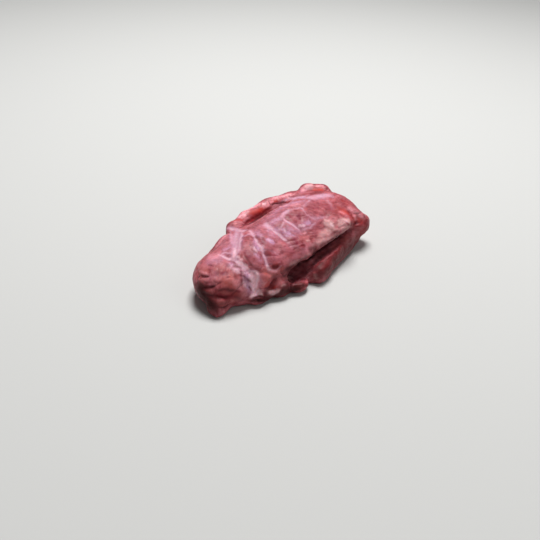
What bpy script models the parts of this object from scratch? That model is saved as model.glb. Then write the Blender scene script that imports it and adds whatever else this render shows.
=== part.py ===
"""A raw, trimmed pork cheek: one piece of muscle, lying on its cut side with the silverskin up.

The piece is built the way the muscle lies. Rounded bundles overlap and fuse into one body, trimmed
edges roll along its back, a flap hangs out from under its front lip, and the gaps between them are cut
in. Seams between the bundles are pressed into the skin, which swells and dips a little all over.
Lengths in the tables are in millimetres, and MM turns them into metres.

Frame: +X runs from the rounded nose to the squared end, +Y to the back edge and +Z up. The origin is
at the middle of the piece's box, on the surface that it rests on.
"""

import math
from typing import NamedTuple

import bmesh
import bpy
import numpy as np
from mathutils import Euler, Matrix, Vector, noise
from mathutils.bvhtree import BVHTree
from mathutils.kdtree import KDTree

MM = 0.001

# The finished piece.
LENGTH = 136.0
WIDTH = 72.0
HEIGHT = 34.0

# How finely the bundles are fused, how softly they run into each other, and the faces that are kept.
FUSE_VOXEL = 1.0
CUTTER_VOXEL = 0.6
BLEND_PASSES = 7
CUT_PASSES = 3
TRIANGLES = 10600


class Bundle(NamedTuple):
    """A rounded mass: squareness 0 is an ellipsoid, and towards 1 it tends to a block."""

    centre: tuple
    half_sizes: tuple
    turns: tuple = (0, 0, 0)  # degrees about Z, Y and X
    squareness: float = 0.0


class Seam(NamedTuple):
    """A valley along points that lie near the skin."""

    points: tuple
    half_width: float
    depth: float


BODY = {
    "core": Bundle((2, 0, 13), (58, 26, 16), squareness=0.1),
    "crown": Bundle((16, 1, 19), (42, 19, 15), turns=(3, 0, 10)),
    "crown_far": Bundle((43, 3, 18), (27, 24, 13), turns=(0, 4, 2), squareness=0.1),
    "belly": Bundle((-18, -2, 15.5), (34, 18, 15.5), turns=(14, -2, 12)),
    "shoulder": Bundle((-23, 14, 15.5), (16, 9.5, 10)),
    "nose": Bundle((-41.5, 0.5, 10.5), (24, 18.5, 14.5), turns=(26, 0, 4)),
    "nose_corner": Bundle((-54, -9, 5), (12, 7, 8), turns=(28, 0, 0), squareness=0.2),
    "nose_tip": Bundle((-61, -14, 2.5), (4.5, 3, 4), turns=(42, 0, 0)),
    "nose_edge": Bundle((-38, -13, 7), (18, 8, 9)),
    "end_face": Bundle((52.5, -2, 13.5), (16, 18, 13), turns=(-6, 6, 0), squareness=0.25),
    "end_corner": Bundle((57, -15, 14), (11.5, 7.5, 8), turns=(0, 10, 0), squareness=0.15),
    "back_foot": Bundle((18, 20, 9), (38, 12, 11), squareness=0.1),
    "lip": Bundle((10, -13, 20.5), (34, 8, 6), turns=(3, -3, 14)),
    "fat_pad": Bundle((36, -15.5, 23.5), (12, 6, 5), turns=(12, 0, 24), squareness=0.1),
    "under_lip": Bundle((12, -10, 8), (38, 10, 9), turns=(4, 0, 0), squareness=0.1),
}

# What hangs on the body: the flap that comes out from under the lip, and the small lumps beside it.
TRIM = {
    "flap": Bundle((33, -18.5, 6.6), (34, 8, 8.6), turns=(14, -2, 0), squareness=0.35),
    "flap_end": Bundle((9.5, -28.5, 5), (9, 5.2, 7), turns=(16, 0, 0), squareness=0.3),
    "pocket_floor": Bundle((1, -21.5, 1.5), (11, 7, 5.5)),
    "lump_right": Bundle((-10, -26.5, 4.5), (7, 6.5, 5.5), squareness=0.1),
    "lump_middle": Bundle((-21, -23.5, 5), (8, 6, 6), squareness=0.1),
    "lump_left": Bundle((-34, -20, 4), (9, 6, 5), squareness=0.1),
    "lobe_left": Bundle((-31, -18.5, 13), (6, 5, 6.5), squareness=0.1),
    "lobe_right": Bundle((-18, -20, 11), (6, 6, 5), squareness=0.1),
}

HOLLOWS = {
    "lip_gap": Bundle((20, -24, 16.2), (28, 11, 1.9), turns=(9, -3, -12)),
    "lip_pocket": Bundle((-7, -24.5, 10.5), (11, 10.5, 5.5), turns=(-4, -5, 0)),
}

# Strips: places along each, with the radius there.
ROLLS = {
    "back_roll": [
        ((-18, 23.5, 19), 3.0),
        ((-12, 26.5, 19.5), 5.2),
        ((-4, 30, 18.5), 4.4),
        ((3, 31.5, 19), 5.6),
        ((14, 33, 18.5), 5.0),
        ((25, 33, 20), 6.0),
        ((35, 31, 21), 5.0),
        ((45, 27, 22), 5.2),
        ((54, 23, 21.5), 5.0),
    ],
    "tail": [
        ((47, 26, 22), 3.2),
        ((53.5, 26.5, 25.5), 4.6),
        ((58.5, 22, 26), 3.7),
        ((62, 18, 25.5), 4.0),
        ((63, 14.5, 23.5), 2.5),
    ],
    "end_fold": [
        ((47, -6, 28), 2.2),
        ((54, -13, 25.5), 2.6),
        ((60, -19, 20), 2.5),
    ],
    "lip_finger": [
        ((22, -22, 20), 2.0),
        ((32, -21.5, 21.8), 2.8),
        ((40, -20.5, 23), 3.6),
        ((45.5, -19, 23.2), 3.2),
    ],
    "end_knob": [
        ((56, 3, 25), 3.0),
        ((62, -2, 23), 3.4),
    ],
}
GROOVES = {
    "roll_gap": [
        ((-13, 19.5, 23), 0.9),
        ((-8, 21, 22), 1.6),
        ((0, 23, 21.5), 1.9),
        ((10, 25, 21), 2.0),
        ((22, 26.5, 22), 1.8),
        ((34, 25.5, 25), 1.4),
        ((41, 22.5, 28), 0.9),
    ],
    "end_gap": [
        ((41, -22, 16), 1.5),
        ((48, -20.8, 17.8), 1.6),
        ((52, -20, 20.2), 1.5),
        ((55.5, -18.5, 22.5), 1.1),
        ((57, -15, 25), 0.7),
    ],
    "flap_gap": [
        ((2, -25.5, 11.6), 2.0),
        ((11, -25.6, 12.9), 2.4),
        ((20, -24.8, 13.6), 2.3),
        ((29, -23.5, 14.3), 1.7),
        ((38, -22.2, 15.5), 1.1),
    ],
    "tail_notch": [
        ((55, 13, 31), 2.0),
        ((63, 11, 28), 2.0),
        ((70, 9, 24), 2.0),
    ],
}

SEAMS = {
    "fork_stem": Seam(((-17, 24, 25), (-23, 15, 25), (-32, 3, 27), (-38, -2, 27), (-42, -5, 25)), 2.4, 0.8),
    "fork_left": Seam(((-42, -5, 25), (-43, 1, 25), (-44, 6, 24)), 2.2, 0.5),
    "fork_down": Seam(((-42, -5, 25), (-42, -10, 23), (-39, -17, 19), (-37, -20, 13), (-38, -23, 8)), 2.2, 1.1),
    "band_near": Seam(((-17, 6, 30), (-25, -8, 29), (-28, -16, 24), (-29, -20, 20), (-24, -22, 18)), 1.8, 1.0),
    "band_mid": Seam(((-7, 1, 32), (-8, -5, 30), (-8, -16, 25), (-6, -20, 23)), 1.8, 0.9),
    "band_far": Seam(((4, 0, 33), (4, -5, 32), (7, -12, 28)), 1.8, 0.8),
    "low_crease": Seam(((-30, -22, 19), (-26, -24, 13), (-29, -24, 9), (-34, -24, 7)), 1.7, 1.3),
    "nose_crease_top": Seam(((-60, 6, 18), (-61, -1, 20), (-59, -6, 21)), 1.5, 0.4),
    "nose_crease_mid": Seam(((-66, -4, 14), (-64, -7, 16), (-61, -10, 17), (-58, -12, 18)), 1.4, 0.5),
    "nose_crease_low": Seam(((-64, -12, 15), (-60, -15, 13), (-56, -18, 11), (-52, -18, 12), (-48, -18, 14)), 1.5, 0.7),
    "nose_crease_foot": Seam(((-64, -13, 9), (-60, -17, 6), (-52, -18, 6)), 1.4, 0.5),
    "back_nose": Seam(((-36, 14, 24), (-43, 18, 15), (-41, 18, 4)), 2.0, 1.0),
    "back_near": Seam(((-22, 20, 20), (-25, 23, 11), (-21, 22, 3)), 2.0, 1.1),
    "back_mid": Seam(((2, 33, 13), (5, 33, 8), (2, 31, 3)), 1.9, 1.0),
    "back_far": Seam(((31, 33, 14), (35, 32, 8), (33, 30, 3)), 1.9, 1.0),
    "end_upper": Seam(((66, 10, 20), (70, 4, 15), (70, -6, 13), (68, -15, 12)), 2.0, 0.8),
    "end_lower": Seam(((64, 14, 10), (69, 5, 7), (69, -5, 5)), 1.8, 0.9),
}
SEAM_STEP = 0.5
SEAM_REACH = 3.0  # in half widths

# The swell of the skin: how far apart its humps are, and how far it goes out and in.
SWELLS = ((15.0, 0.55), (6.5, 0.3))

MEAT_COLOUR = (0.43, 0.10, 0.11, 1.0)
MEAT_ROUGHNESS = 0.38


def shown(name, mesh):
    """A scene object that holds the mesh."""
    piece = bpy.data.objects.new(name, mesh)
    bpy.context.scene.collection.objects.link(piece)
    return piece


def settled(piece):
    """The piece as its modifiers and its bevel leave it, as a plain mesh object of the same name."""
    graph = bpy.context.evaluated_depsgraph_get()
    mesh = bpy.data.meshes.new_from_object(piece.evaluated_get(graph))
    name = piece.name
    bpy.data.objects.remove(piece)
    return shown(name, mesh)


def ball(name, bundle):
    """A closed ball, squared, stretched and turned as the bundle says."""
    bm = bmesh.new()
    bmesh.ops.create_uvsphere(bm, u_segments=48, v_segments=24, radius=1.0)
    power = 1.0 - bundle.squareness
    for vert in bm.verts:
        vert.co = Vector(math.copysign(abs(value) ** power, value) for value in vert.co)
    turn_z, turn_y, turn_x = (math.radians(angle) for angle in bundle.turns)
    bm.transform(
        Matrix.Translation(Vector(bundle.centre) * MM)
        @ Euler((turn_x, turn_y, turn_z), "XYZ").to_matrix().to_4x4()
        @ Matrix.Diagonal((*(size * MM for size in bundle.half_sizes), 1.0))
    )
    mesh = bpy.data.meshes.new(name)
    bm.to_mesh(mesh)
    bm.free()
    return shown(name, mesh)


def strip(name, stations):
    """A closed tube along the stations, each a place and a radius."""
    curve = bpy.data.curves.new(name, "CURVE")
    curve.dimensions = "3D"
    curve.bevel_depth = MM
    curve.bevel_resolution = 4
    curve.use_fill_caps = True
    curve.resolution_u = 6
    spline = curve.splines.new("BEZIER")
    spline.bezier_points.add(len(stations) - 1)
    for point, (place, radius) in zip(spline.bezier_points, stations):
        point.co = Vector(place) * MM
        point.radius = radius
        point.handle_left_type = point.handle_right_type = "AUTO"
    return settled(shown(name, curve))


def joined(name, pieces):
    """One object that holds the meshes of all the pieces."""
    bm = bmesh.new()
    for piece in pieces:
        bm.from_mesh(piece.data)
        bpy.data.objects.remove(piece)
    bmesh.ops.recalc_face_normals(bm, faces=bm.faces)
    mesh = bpy.data.meshes.new(name)
    bm.to_mesh(mesh)
    bm.free()
    return shown(name, mesh)


def fused(piece, voxel, passes):
    """The overlapping shells of the piece made one skin, then softened where they meet."""
    remesh = piece.modifiers.new("fuse", "REMESH")
    remesh.mode = "VOXEL"
    remesh.voxel_size = voxel * MM
    smooth = piece.modifiers.new("soften", "SMOOTH")
    smooth.factor = 0.5
    smooth.iterations = passes
    return settled(piece)


def cut(piece, cutter):
    """The piece less the cutter."""
    boolean = piece.modifiers.new("cut", "BOOLEAN")
    boolean.operation = "DIFFERENCE"
    boolean.object = cutter
    piece = settled(piece)
    bpy.data.objects.remove(cutter)
    return piece


def smooth_line(points, step):
    """Places a step apart along the smooth curve through the given ones."""
    padded = [2 * points[0] - points[1], *points, 2 * points[-1] - points[-2]]
    line = []
    for before, start, end, after in zip(padded, padded[1:], padded[2:], padded[3:]):
        count = max(1, round((end - start).length / step))
        for t in (index / count for index in range(count)):
            slope = (end - before) * t
            bend = (2 * before - 5 * start + 4 * end - after) * t**2
            twist = (3 * start - before - 3 * end + after) * t**3
            line.append((2 * start + slope + bend + twist) / 2)
    return line + [points[-1]]


def seam_depths(piece, seams):
    """How deep the seams press each vertex in: a soft-shouldered valley along each of them."""
    verts = piece.data.vertices
    skin = BVHTree.FromObject(piece, bpy.context.evaluated_depsgraph_get())
    depths = np.zeros(len(verts))
    for seam in seams:
        line = smooth_line([Vector(point) * MM for point in seam.points], SEAM_STEP * MM)
        tree = KDTree(len(line))
        for index, point in enumerate(line):
            tree.insert(skin.find_nearest(point)[0], index)
        tree.balance()
        for index, vert in enumerate(verts):
            distance = tree.find(vert.co)[2] / (seam.half_width * MM)
            if distance < SEAM_REACH:
                depths[index] = max(depths[index], seam.depth * math.exp(-(distance**2)))
    return depths


def swell(place):
    """How far the skin stands out at a place, in millimetres."""
    return sum(height * noise.noise(place / (spacing * MM)) for spacing, height in SWELLS)


def worked(piece, seams):
    """The skin moved along its normals: out and in by the swell, and in along the seams."""
    depths = seam_depths(piece, seams)
    verts = piece.data.vertices
    moves = [vert.normal * ((swell(vert.co) - depth) * MM) for vert, depth in zip(verts, depths)]
    for vert, move in zip(verts, moves):
        vert.co += move


def rested(piece):
    """The piece cut off flat where it rests, with the cut closed by one flat face."""
    bm = bmesh.new()
    bm.from_mesh(piece.data)
    everything = [*bm.verts, *bm.edges, *bm.faces]
    bmesh.ops.bisect_plane(bm, geom=everything, plane_co=(0, 0, 0), plane_no=(0, 0, -1), clear_outer=True)
    bmesh.ops.holes_fill(bm, edges=[edge for edge in bm.edges if edge.is_boundary], sides=0)
    bmesh.ops.triangulate(bm, faces=bm.faces)
    bmesh.ops.recalc_face_normals(bm, faces=bm.faces)
    bm.to_mesh(piece.data)
    bm.free()


def thinned(piece, triangles):
    """The piece with about that many triangles, kept where the form bends most."""
    decimate = piece.modifiers.new("thin", "DECIMATE")
    decimate.ratio = triangles / len(piece.data.polygons)
    decimate.use_collapse_triangulate = True
    return settled(piece)


def sized(piece, size):
    """The piece stretched to the size, with its origin under the middle of its box."""
    places = np.array([vert.co for vert in piece.data.vertices])
    low, high = places.min(axis=0), places.max(axis=0)
    foot = Vector(((low[0] + high[0]) / 2, (low[1] + high[1]) / 2, low[2]))
    stretch = Matrix.Diagonal((*(np.array(size) * MM / (high - low)), 1.0))
    piece.data.transform(stretch @ Matrix.Translation(-foot))


def raw_meat():
    """Wet raw muscle, a dull pinkish red."""
    material = bpy.data.materials.new("raw_meat")
    material.use_nodes = True
    shader = material.node_tree.nodes["Principled BSDF"]
    shader.inputs["Base Color"].default_value = MEAT_COLOUR
    shader.inputs["Roughness"].default_value = MEAT_ROUGHNESS
    shader.inputs["Metallic"].default_value = 0.0
    return material


def pork_cheek():
    """The whole piece, as one closed skin."""
    bundles = [ball(name, bundle) for name, bundle in {**BODY, **TRIM}.items()]
    strips = [strip(name, stations) for name, stations in ROLLS.items()]
    cheek = fused(joined("pork_cheek", bundles + strips), FUSE_VOXEL, BLEND_PASSES)
    hollows = [ball(name, bundle) for name, bundle in HOLLOWS.items()]
    grooves = [strip(name, stations) for name, stations in GROOVES.items()]
    cutter = fused(joined("cutter", hollows + grooves), CUTTER_VOXEL, 1)
    cheek = fused(cut(cheek, cutter), FUSE_VOXEL, CUT_PASSES)
    worked(cheek, SEAMS.values())
    rested(cheek)
    cheek = thinned(cheek, TRIANGLES)
    sized(cheek, (LENGTH, WIDTH, HEIGHT))
    cheek.data.materials.clear()
    cheek.data.materials.append(raw_meat())
    cheek.data.shade_smooth()
    return cheek


for existing in list(bpy.data.objects):
    bpy.data.objects.remove(existing)
cheek = pork_cheek()
cheek.name = "pork_cheek"
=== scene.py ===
# %% [markdown]
# # A raw pork cheek
# A pork cheek is the chewing muscle of a pig, cut out and trimmed. It is one piece of dark, pinkish red
# meat. A thin, tough, silvery skin covers its outer side, a little fat sticks to its edges, and clefts
# run between its bundles of muscle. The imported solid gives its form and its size. This lesson adds
# what the hand and the eye look for on the real thing: seams, creases, fibres, fat, and a wet surface.
# First the fixed frame is loaded, and its box is kept, because the finished piece has to fit in it.

# %% The frame
import math

import bmesh
import bpy
import numpy as np
from mathutils import Matrix, Vector, noise
from mathutils.bvhtree import BVHTree
from mathutils.kdtree import KDTree


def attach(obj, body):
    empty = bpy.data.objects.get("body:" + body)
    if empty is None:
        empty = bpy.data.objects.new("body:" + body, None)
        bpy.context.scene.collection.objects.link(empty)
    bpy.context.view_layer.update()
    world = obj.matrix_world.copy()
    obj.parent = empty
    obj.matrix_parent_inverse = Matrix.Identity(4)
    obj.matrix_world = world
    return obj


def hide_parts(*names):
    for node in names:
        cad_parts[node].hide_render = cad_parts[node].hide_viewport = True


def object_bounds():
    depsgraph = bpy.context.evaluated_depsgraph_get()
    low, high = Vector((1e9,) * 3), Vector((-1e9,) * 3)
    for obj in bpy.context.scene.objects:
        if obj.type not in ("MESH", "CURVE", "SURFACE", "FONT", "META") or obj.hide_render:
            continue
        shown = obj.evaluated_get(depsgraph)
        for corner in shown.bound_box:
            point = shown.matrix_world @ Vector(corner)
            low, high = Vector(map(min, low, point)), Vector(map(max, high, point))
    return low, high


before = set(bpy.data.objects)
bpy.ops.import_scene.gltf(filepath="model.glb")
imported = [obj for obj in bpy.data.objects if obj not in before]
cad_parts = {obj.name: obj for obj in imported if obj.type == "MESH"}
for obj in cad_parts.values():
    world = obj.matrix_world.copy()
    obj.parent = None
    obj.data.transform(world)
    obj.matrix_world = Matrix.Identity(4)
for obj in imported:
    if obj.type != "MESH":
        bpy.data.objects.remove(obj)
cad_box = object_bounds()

MM = 0.001
print("solid, in mm:", [round(side / MM, 1) for side in cad_box[1] - cad_box[0]])

# %% [markdown]
# ## The camera
# The camera comes first, because the seams are later traced through it. It stands where the
# photographer's did: about 42 cm from the meat, looking down at 33 degrees on its front left. The lens
# has the field of view of a short portrait lens, and the horizon leans by a couple of degrees.

# %% The camera
FRAME_PIXELS = 540
AIM = Vector((-9.3, -3.3, 0.0)) * MM
AZIMUTH, ELEVATION, ROLL = (math.radians(angle) for angle in (-46.8, 32.8, 2.5))
DISTANCE = 416 * MM
LENS, SENSOR = 45.0, 36.0
CLIP_NEAR, CLIP_FAR = 0.01, 10.0  # in metres


def placed(name, data):
    """A new object in the scene that holds the data."""
    made = bpy.data.objects.new(name, data)
    bpy.context.scene.collection.objects.link(made)
    return made


def camera():
    """The camera, which looks at AIM from DISTANCE away."""
    made = placed("camera", bpy.data.cameras.new("camera"))
    level = math.cos(ELEVATION)
    back = Vector((math.sin(AZIMUTH) * level, -math.cos(AZIMUTH) * level, math.sin(ELEVATION)))
    turn = (-back).to_track_quat("-Z", "Y").to_matrix().to_4x4() @ Matrix.Rotation(ROLL, 4, "Z")
    made.matrix_world = Matrix.Translation(AIM + back * DISTANCE) @ turn
    made.data.lens, made.data.sensor_width = LENS, SENSOR
    made.data.clip_start, made.data.clip_end = CLIP_NEAR, CLIP_FAR
    bpy.context.scene.camera = made
    return made


view = camera()
print("camera, in mm:", [round(value / MM) for value in view.matrix_world.translation])

# %% [markdown]
# ## A fine skin
# The solid has facets of about 2 mm, which is enough for its form and too coarse for its surface. A
# subdivision surface would keep the pattern of those facets. A voxel remesh forgets it: it lays an even
# grid of small quads over the form, and a few rounds of smoothing take the last facets off. Quads of
# half a millimetre are fine enough for a strand of silverskin, and the mesh stays light.

# %% The fine skin
SKIN_VOXEL = 0.55 * MM
WELD = 0.001 * MM
RELAX_SHARE, RELAX_ROUNDS = 0.5, 9


def fine_skin(node, name):
    """A new object with the node's form, on an even grid of small quads."""
    bm = bmesh.new()
    bm.from_mesh(node.data)
    bmesh.ops.remove_doubles(bm, verts=bm.verts, dist=WELD)
    mesh = bpy.data.meshes.new(name)
    bm.to_mesh(mesh)
    bm.free()
    made = placed(name, mesh)
    round_off = made.modifiers.new("round_off", "SUBSURF")
    round_off.levels = round_off.render_levels = 1
    grid = made.modifiers.new("grid", "REMESH")
    grid.mode, grid.voxel_size = "VOXEL", SKIN_VOXEL
    relax = made.modifiers.new("relax", "SMOOTH")
    relax.factor, relax.iterations = RELAX_SHARE, RELAX_ROUNDS
    graph = bpy.context.evaluated_depsgraph_get()
    made.data = bpy.data.meshes.new_from_object(made.evaluated_get(graph))
    made.modifiers.clear()
    return made


cheek = fine_skin(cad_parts["pork_cheek"], "pork_cheek_meat")
print("triangles in the skin:", sum(len(face.vertices) - 2 for face in cheek.data.polygons))

# %% [markdown]
# ## The skin as arrays
# The relief is worked out for all vertices at once, so the mesh is read into arrays: the place of each
# vertex in millimetres, its outward direction, and the pairs of neighbours.

# %% Arrays of the skin


def read_places(mesh):
    """Each vertex's place, in millimetres."""
    flat = np.empty(len(mesh.vertices) * 3)
    mesh.vertices.foreach_get("co", flat)
    return flat.reshape(-1, 3) / MM


def read_outward(mesh):
    """Each vertex's outward direction."""
    flat = np.empty(len(mesh.vertices) * 3)
    mesh.vertex_normals.foreach_get("vector", flat)
    return flat.reshape(-1, 3)


def read_pairs(mesh):
    """The two ends of each edge."""
    flat = np.empty(len(mesh.edges) * 2, dtype=np.int64)
    mesh.edges.foreach_get("vertices", flat)
    return flat.reshape(-1, 2).T


places = read_places(cheek.data)
outward = read_outward(cheek.data)
ends, others = read_pairs(cheek.data)
count = len(places)
print("vertices:", count)

# %% [markdown]
# A few tools work on such arrays. `softened` spreads a value to the neighbours, round by round, as heat
# spreads through a plate. `cloud` gives smooth random values, whose humps are some millimetres apart,
# and a shift gives another cloud of the same kind. `patchy` makes shares of a cloud, to wear a mask thin
# in places, and `wavering` moves each vertex a little, so that no edge drawn there is ruled.

# %% Softening and clouds
neighbours = np.bincount(ends, minlength=count) + np.bincount(others, minlength=count)


def softened(values, rounds):
    """The values, each blended with its neighbours' average, round by round."""
    if values.ndim == 2:
        return np.stack([softened(column, rounds) for column in values.T], axis=1)
    for _ in range(rounds):
        total = np.bincount(ends, values[others], count) + np.bincount(others, values[ends], count)
        values = (values + total / neighbours) / 2
    return values


def cloud(spacing, shift):
    """Smooth random values from about -0.6 to 0.6, whose humps are that many millimetres apart."""
    move = Vector((shift, -shift, 2 * shift))
    return np.array([noise.noise(Vector(place) + move) for place in places / spacing])


def patchy(spacing, shift, level, swing, most=1.0):
    """A cloud as shares: the level, more or less by the swing, held between 0 and the most."""
    return np.clip(level + swing * cloud(spacing, shift), 0, most)


def wavering(spacing, shifts):
    """A smooth random step for each vertex, from one cloud for each of its three coordinates."""
    return np.stack([cloud(spacing, shift) for shift in shifts], axis=1)


RAGGED_SPACING, RAGGED_REACH = 3.4, 0.55
ragged = places + RAGGED_REACH * wavering(RAGGED_SPACING, (1, 5, 9))
print("ragged edges wander by, in mm:", round(float(np.abs(ragged - places).max()), 2))

# %% [markdown]
# ## Tracing on the skin
# The seams and creases of this piece run where they run, by no rule, so they are traced as a butcher
# would point them out. Each stroke is a few points in the photograph's 540 x 540 pixels. A ray from
# the camera through each point finds its place on the meat, so a stroke lies on the skin from every
# side.

# %% From pixels to the skin
surface = BVHTree.FromObject(cheek, bpy.context.evaluated_depsgraph_get())
STROKE_STEP = 0.6  # in pixels


def smooth_path(points):
    """Points a small step apart on the smooth curve through the given ones."""
    points = np.array(points, float)
    padded = np.vstack([2 * points[0] - points[1], points, 2 * points[-1] - points[-2]])
    path = []
    for before, start, end, after in zip(padded, padded[1:], padded[2:], padded[3:]):
        for t in np.arange(0, 1, STROKE_STEP / max(STROKE_STEP, np.linalg.norm(end - start))):
            slope = (end - before) * t
            bend = (2 * before - 5 * start + 4 * end - after) * t**2
            twist = (3 * start - before - 3 * end + after) * t**3
            path.append((2 * start + slope + bend + twist) / 2)
    return np.array([*path, points[-1]])


def seen_at(pixel):
    """The place on the skin, in mm, and its outward direction, that show at a pixel; or None."""
    across, down = np.array(pixel) / FRAME_PIXELS - 0.5
    sight = view.matrix_world.to_3x3() @ Vector((across * SENSOR, -down * SENSOR, -LENS))
    place, direction, _, _ = surface.ray_cast(view.matrix_world.translation, sight.normalized())
    return None if place is None else (place / MM, direction)


def traced(pixels):
    """The places and outward directions on the skin along a stroke."""
    seen = [seen_at(pixel) for pixel in smooth_path(pixels)]
    return [np.array(column) for column in zip(*(hit for hit in seen if hit))]


print("the middle of the picture shows, in mm:", seen_at((270, 240))[0])

# %% [markdown]
# A stroke covers the skin fully along its middle and fades to both sides. Its two ends run out thin, as
# real seams do, and its edges wander a little, because nothing in meat is ruled. Its half width is in
# millimetres, and its strength is a share from 0 to 1.

# %% Painting with strokes
REACH = 2.6  # in half widths
END_SHARE, END_CURVE = 0.22, 0.7  # the share of a stroke that runs out at each end, and its curve
END_WIDTH, END_STRENGTH = 0.45, 0.4  # the shares that are left at the very ends
SAME_SIDE = 0.1  # a vertex that faces the stroke's way less than that is on another side


def brushed(stroke):
    """How strongly one stroke covers each vertex, from 0 to 1."""
    pixels, half_width, strength = stroke
    line, directions = traced(pixels)
    low, high = line.min(axis=0) - REACH * half_width, line.max(axis=0) + REACH * half_width
    near = np.flatnonzero(((ragged > low) & (ragged < high)).all(axis=1))
    squares = ((ragged[near, None, :] - line[None, :, :]) ** 2).sum(axis=2)
    nearest = squares.argmin(axis=1)
    facing = (outward[near] * directions[nearest]).sum(axis=1) > SAME_SIDE
    along = nearest / max(1, len(line) - 1)
    run_out = np.clip(np.minimum(along, 1 - along) / END_SHARE, 0, 1) ** END_CURVE
    spread = half_width * (END_WIDTH + (1 - END_WIDTH) * run_out)
    cover = np.zeros(count)
    shape = np.exp(-squares[np.arange(len(near)), nearest] / spread**2)
    cover[near] = facing * strength * (END_STRENGTH + (1 - END_STRENGTH) * run_out) * shape
    return cover


def painted(strokes):
    """How strongly the strokes together cover each vertex, from 0 to 1."""
    return np.max([brushed(stroke) for stroke in strokes.values()], axis=0)


def covered(mask):
    """How many vertices a mask covers by more than half."""
    return int((mask > 0.5).sum())


# %% [markdown]
# ## Creases
# Where two bundles of muscle meet, or the surface folds, there is a narrow cleft with rounded lips.
# Each crease is pressed in along its stroke, and the skin beside it swells a little. The deep cleft
# behind the back roll is there already, in the solid, and the stroke sharpens it. The material also
# paints each crease a dark red, which is painted shade in the groove.

# %% Creases
CREASES = {
    "cleft_near": ([(240, 228.5), (245, 224.5), (250, 220.5), (256, 217.5)], 0.8, 0.7),
    "cleft_mid": ([(252, 219.5), (260, 215), (264, 212.5), (268, 210), (273, 205.5)], 1.0, 0.6),
    "cleft_far": ([(270, 207.5), (273, 204.7), (277, 203.8), (284, 203.2), (290, 201.5)], 0.8, 0.8),
    "roll_end": ([(227, 224.5), (231, 222.2), (236, 222.8), (241, 222.3)], 0.6, 0.4),
    "roll_lobe": ([(239, 215.8), (244, 217), (250, 216.5)], 0.55, 0.35),
    "roll_knot": ([(268, 200), (270, 203), (271.5, 206)], 0.55, 0.5),
    "tail_foot": ([(313, 192.3), (318, 192), (325, 191.2)], 0.7, 0.9),
    "nose_top": ([(200, 275), (203, 276), (206.5, 276.8), (210, 276.5)], 0.7, 0.65),
    "nose_fold": ([(212, 279), (214.5, 281.5), (219, 282.3), (224, 281)], 0.6, 0.3),
    "nose_side_fold": ([(203, 280.5), (206, 283), (211, 283.5)], 0.6, 0.3),
    "nose_dimple": ([(207, 265.3), (210, 264.8), (212.5, 265.5)], 0.5, 0.4),
    "nose_left": ([(196.5, 281), (198, 277.5), (200.5, 275)], 0.5, 0.5),
    "nose_mid": ([(198.5, 287), (203, 288), (208, 288.2), (212.5, 287), (216.5, 285)], 0.8, 0.65),
    "nose_mid_end": ([(215.5, 285.6), (219, 283), (223, 281.2)], 0.5, 0.5),
    "nose_left_low": ([(202, 292), (207, 294), (212, 295.5), (216, 296.5)], 0.9, 0.7),
    "nose_low": ([(214, 296.5), (220, 298), (227, 297.3), (232, 294.5), (237, 290.8)], 0.75, 0.7),
    "nose_low_end": ([(231, 294.5), (232, 298.5), (236, 300)], 0.7, 0.35),
    "nose_foot": ([(215, 305.5), (220, 307.5), (226, 306.5), (231, 303.5)], 0.6, 0.7),
    "nose_web": ([(224, 273.5), (229, 274.3), (233, 277.5)], 0.5, 0.35),
    "low_cleft": ([(264, 289), (268.5, 287), (270.5, 284), (273, 280.5), (277, 278)], 1.0, 0.6),
    "foot_cleft": ([(252, 299), (257, 297), (262.5, 296.5), (267, 298.5), (272, 298.5)], 0.8, 0.9),
    "lump_gap": ([(293, 281), (291, 286), (290, 290), (291, 294)], 0.8, 0.9),
    "pit": ([(272, 266.5), (276, 267.3), (279, 264.5)], 0.9, 0.7),
    "pocket_edge": ([(280.5, 270.5), (284, 276), (288, 273)], 0.7, 0.5),
    "pad_pit": ([(337, 227.3), (341, 226.5), (346, 224.3)], 0.8, 0.35),
    "end_pit": ([(355, 224.3), (359, 222.5), (363, 220.5)], 0.9, 0.45),
    "red_spot": ([(300.5, 247), (302.5, 246), (305.5, 244.5)], 0.7, 0.25),
    "round_edge": ([(244, 252), (246, 258), (250, 263.5), (255, 267.5), (262, 268.5)], 0.9, 0.4),
    "nose_inner": ([(217.5, 292.5), (221, 290.5), (227, 290), (232, 290.6), (236, 290.8)], 0.9, 0.45),
}
CREASE_DEPTH, SWOLLEN_LIP = 0.55, 0.2  # in mm, and the lip as a share of that
LIP_ROUNDS = 14

# the crease mask also gives the dark red of painted shade in each groove
shaded_crease = painted(CREASES)
crease_height = CREASE_DEPTH * (SWOLLEN_LIP * softened(shaded_crease, LIP_ROUNDS) - shaded_crease)
print("vertices in creases:", covered(shaded_crease))
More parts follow.
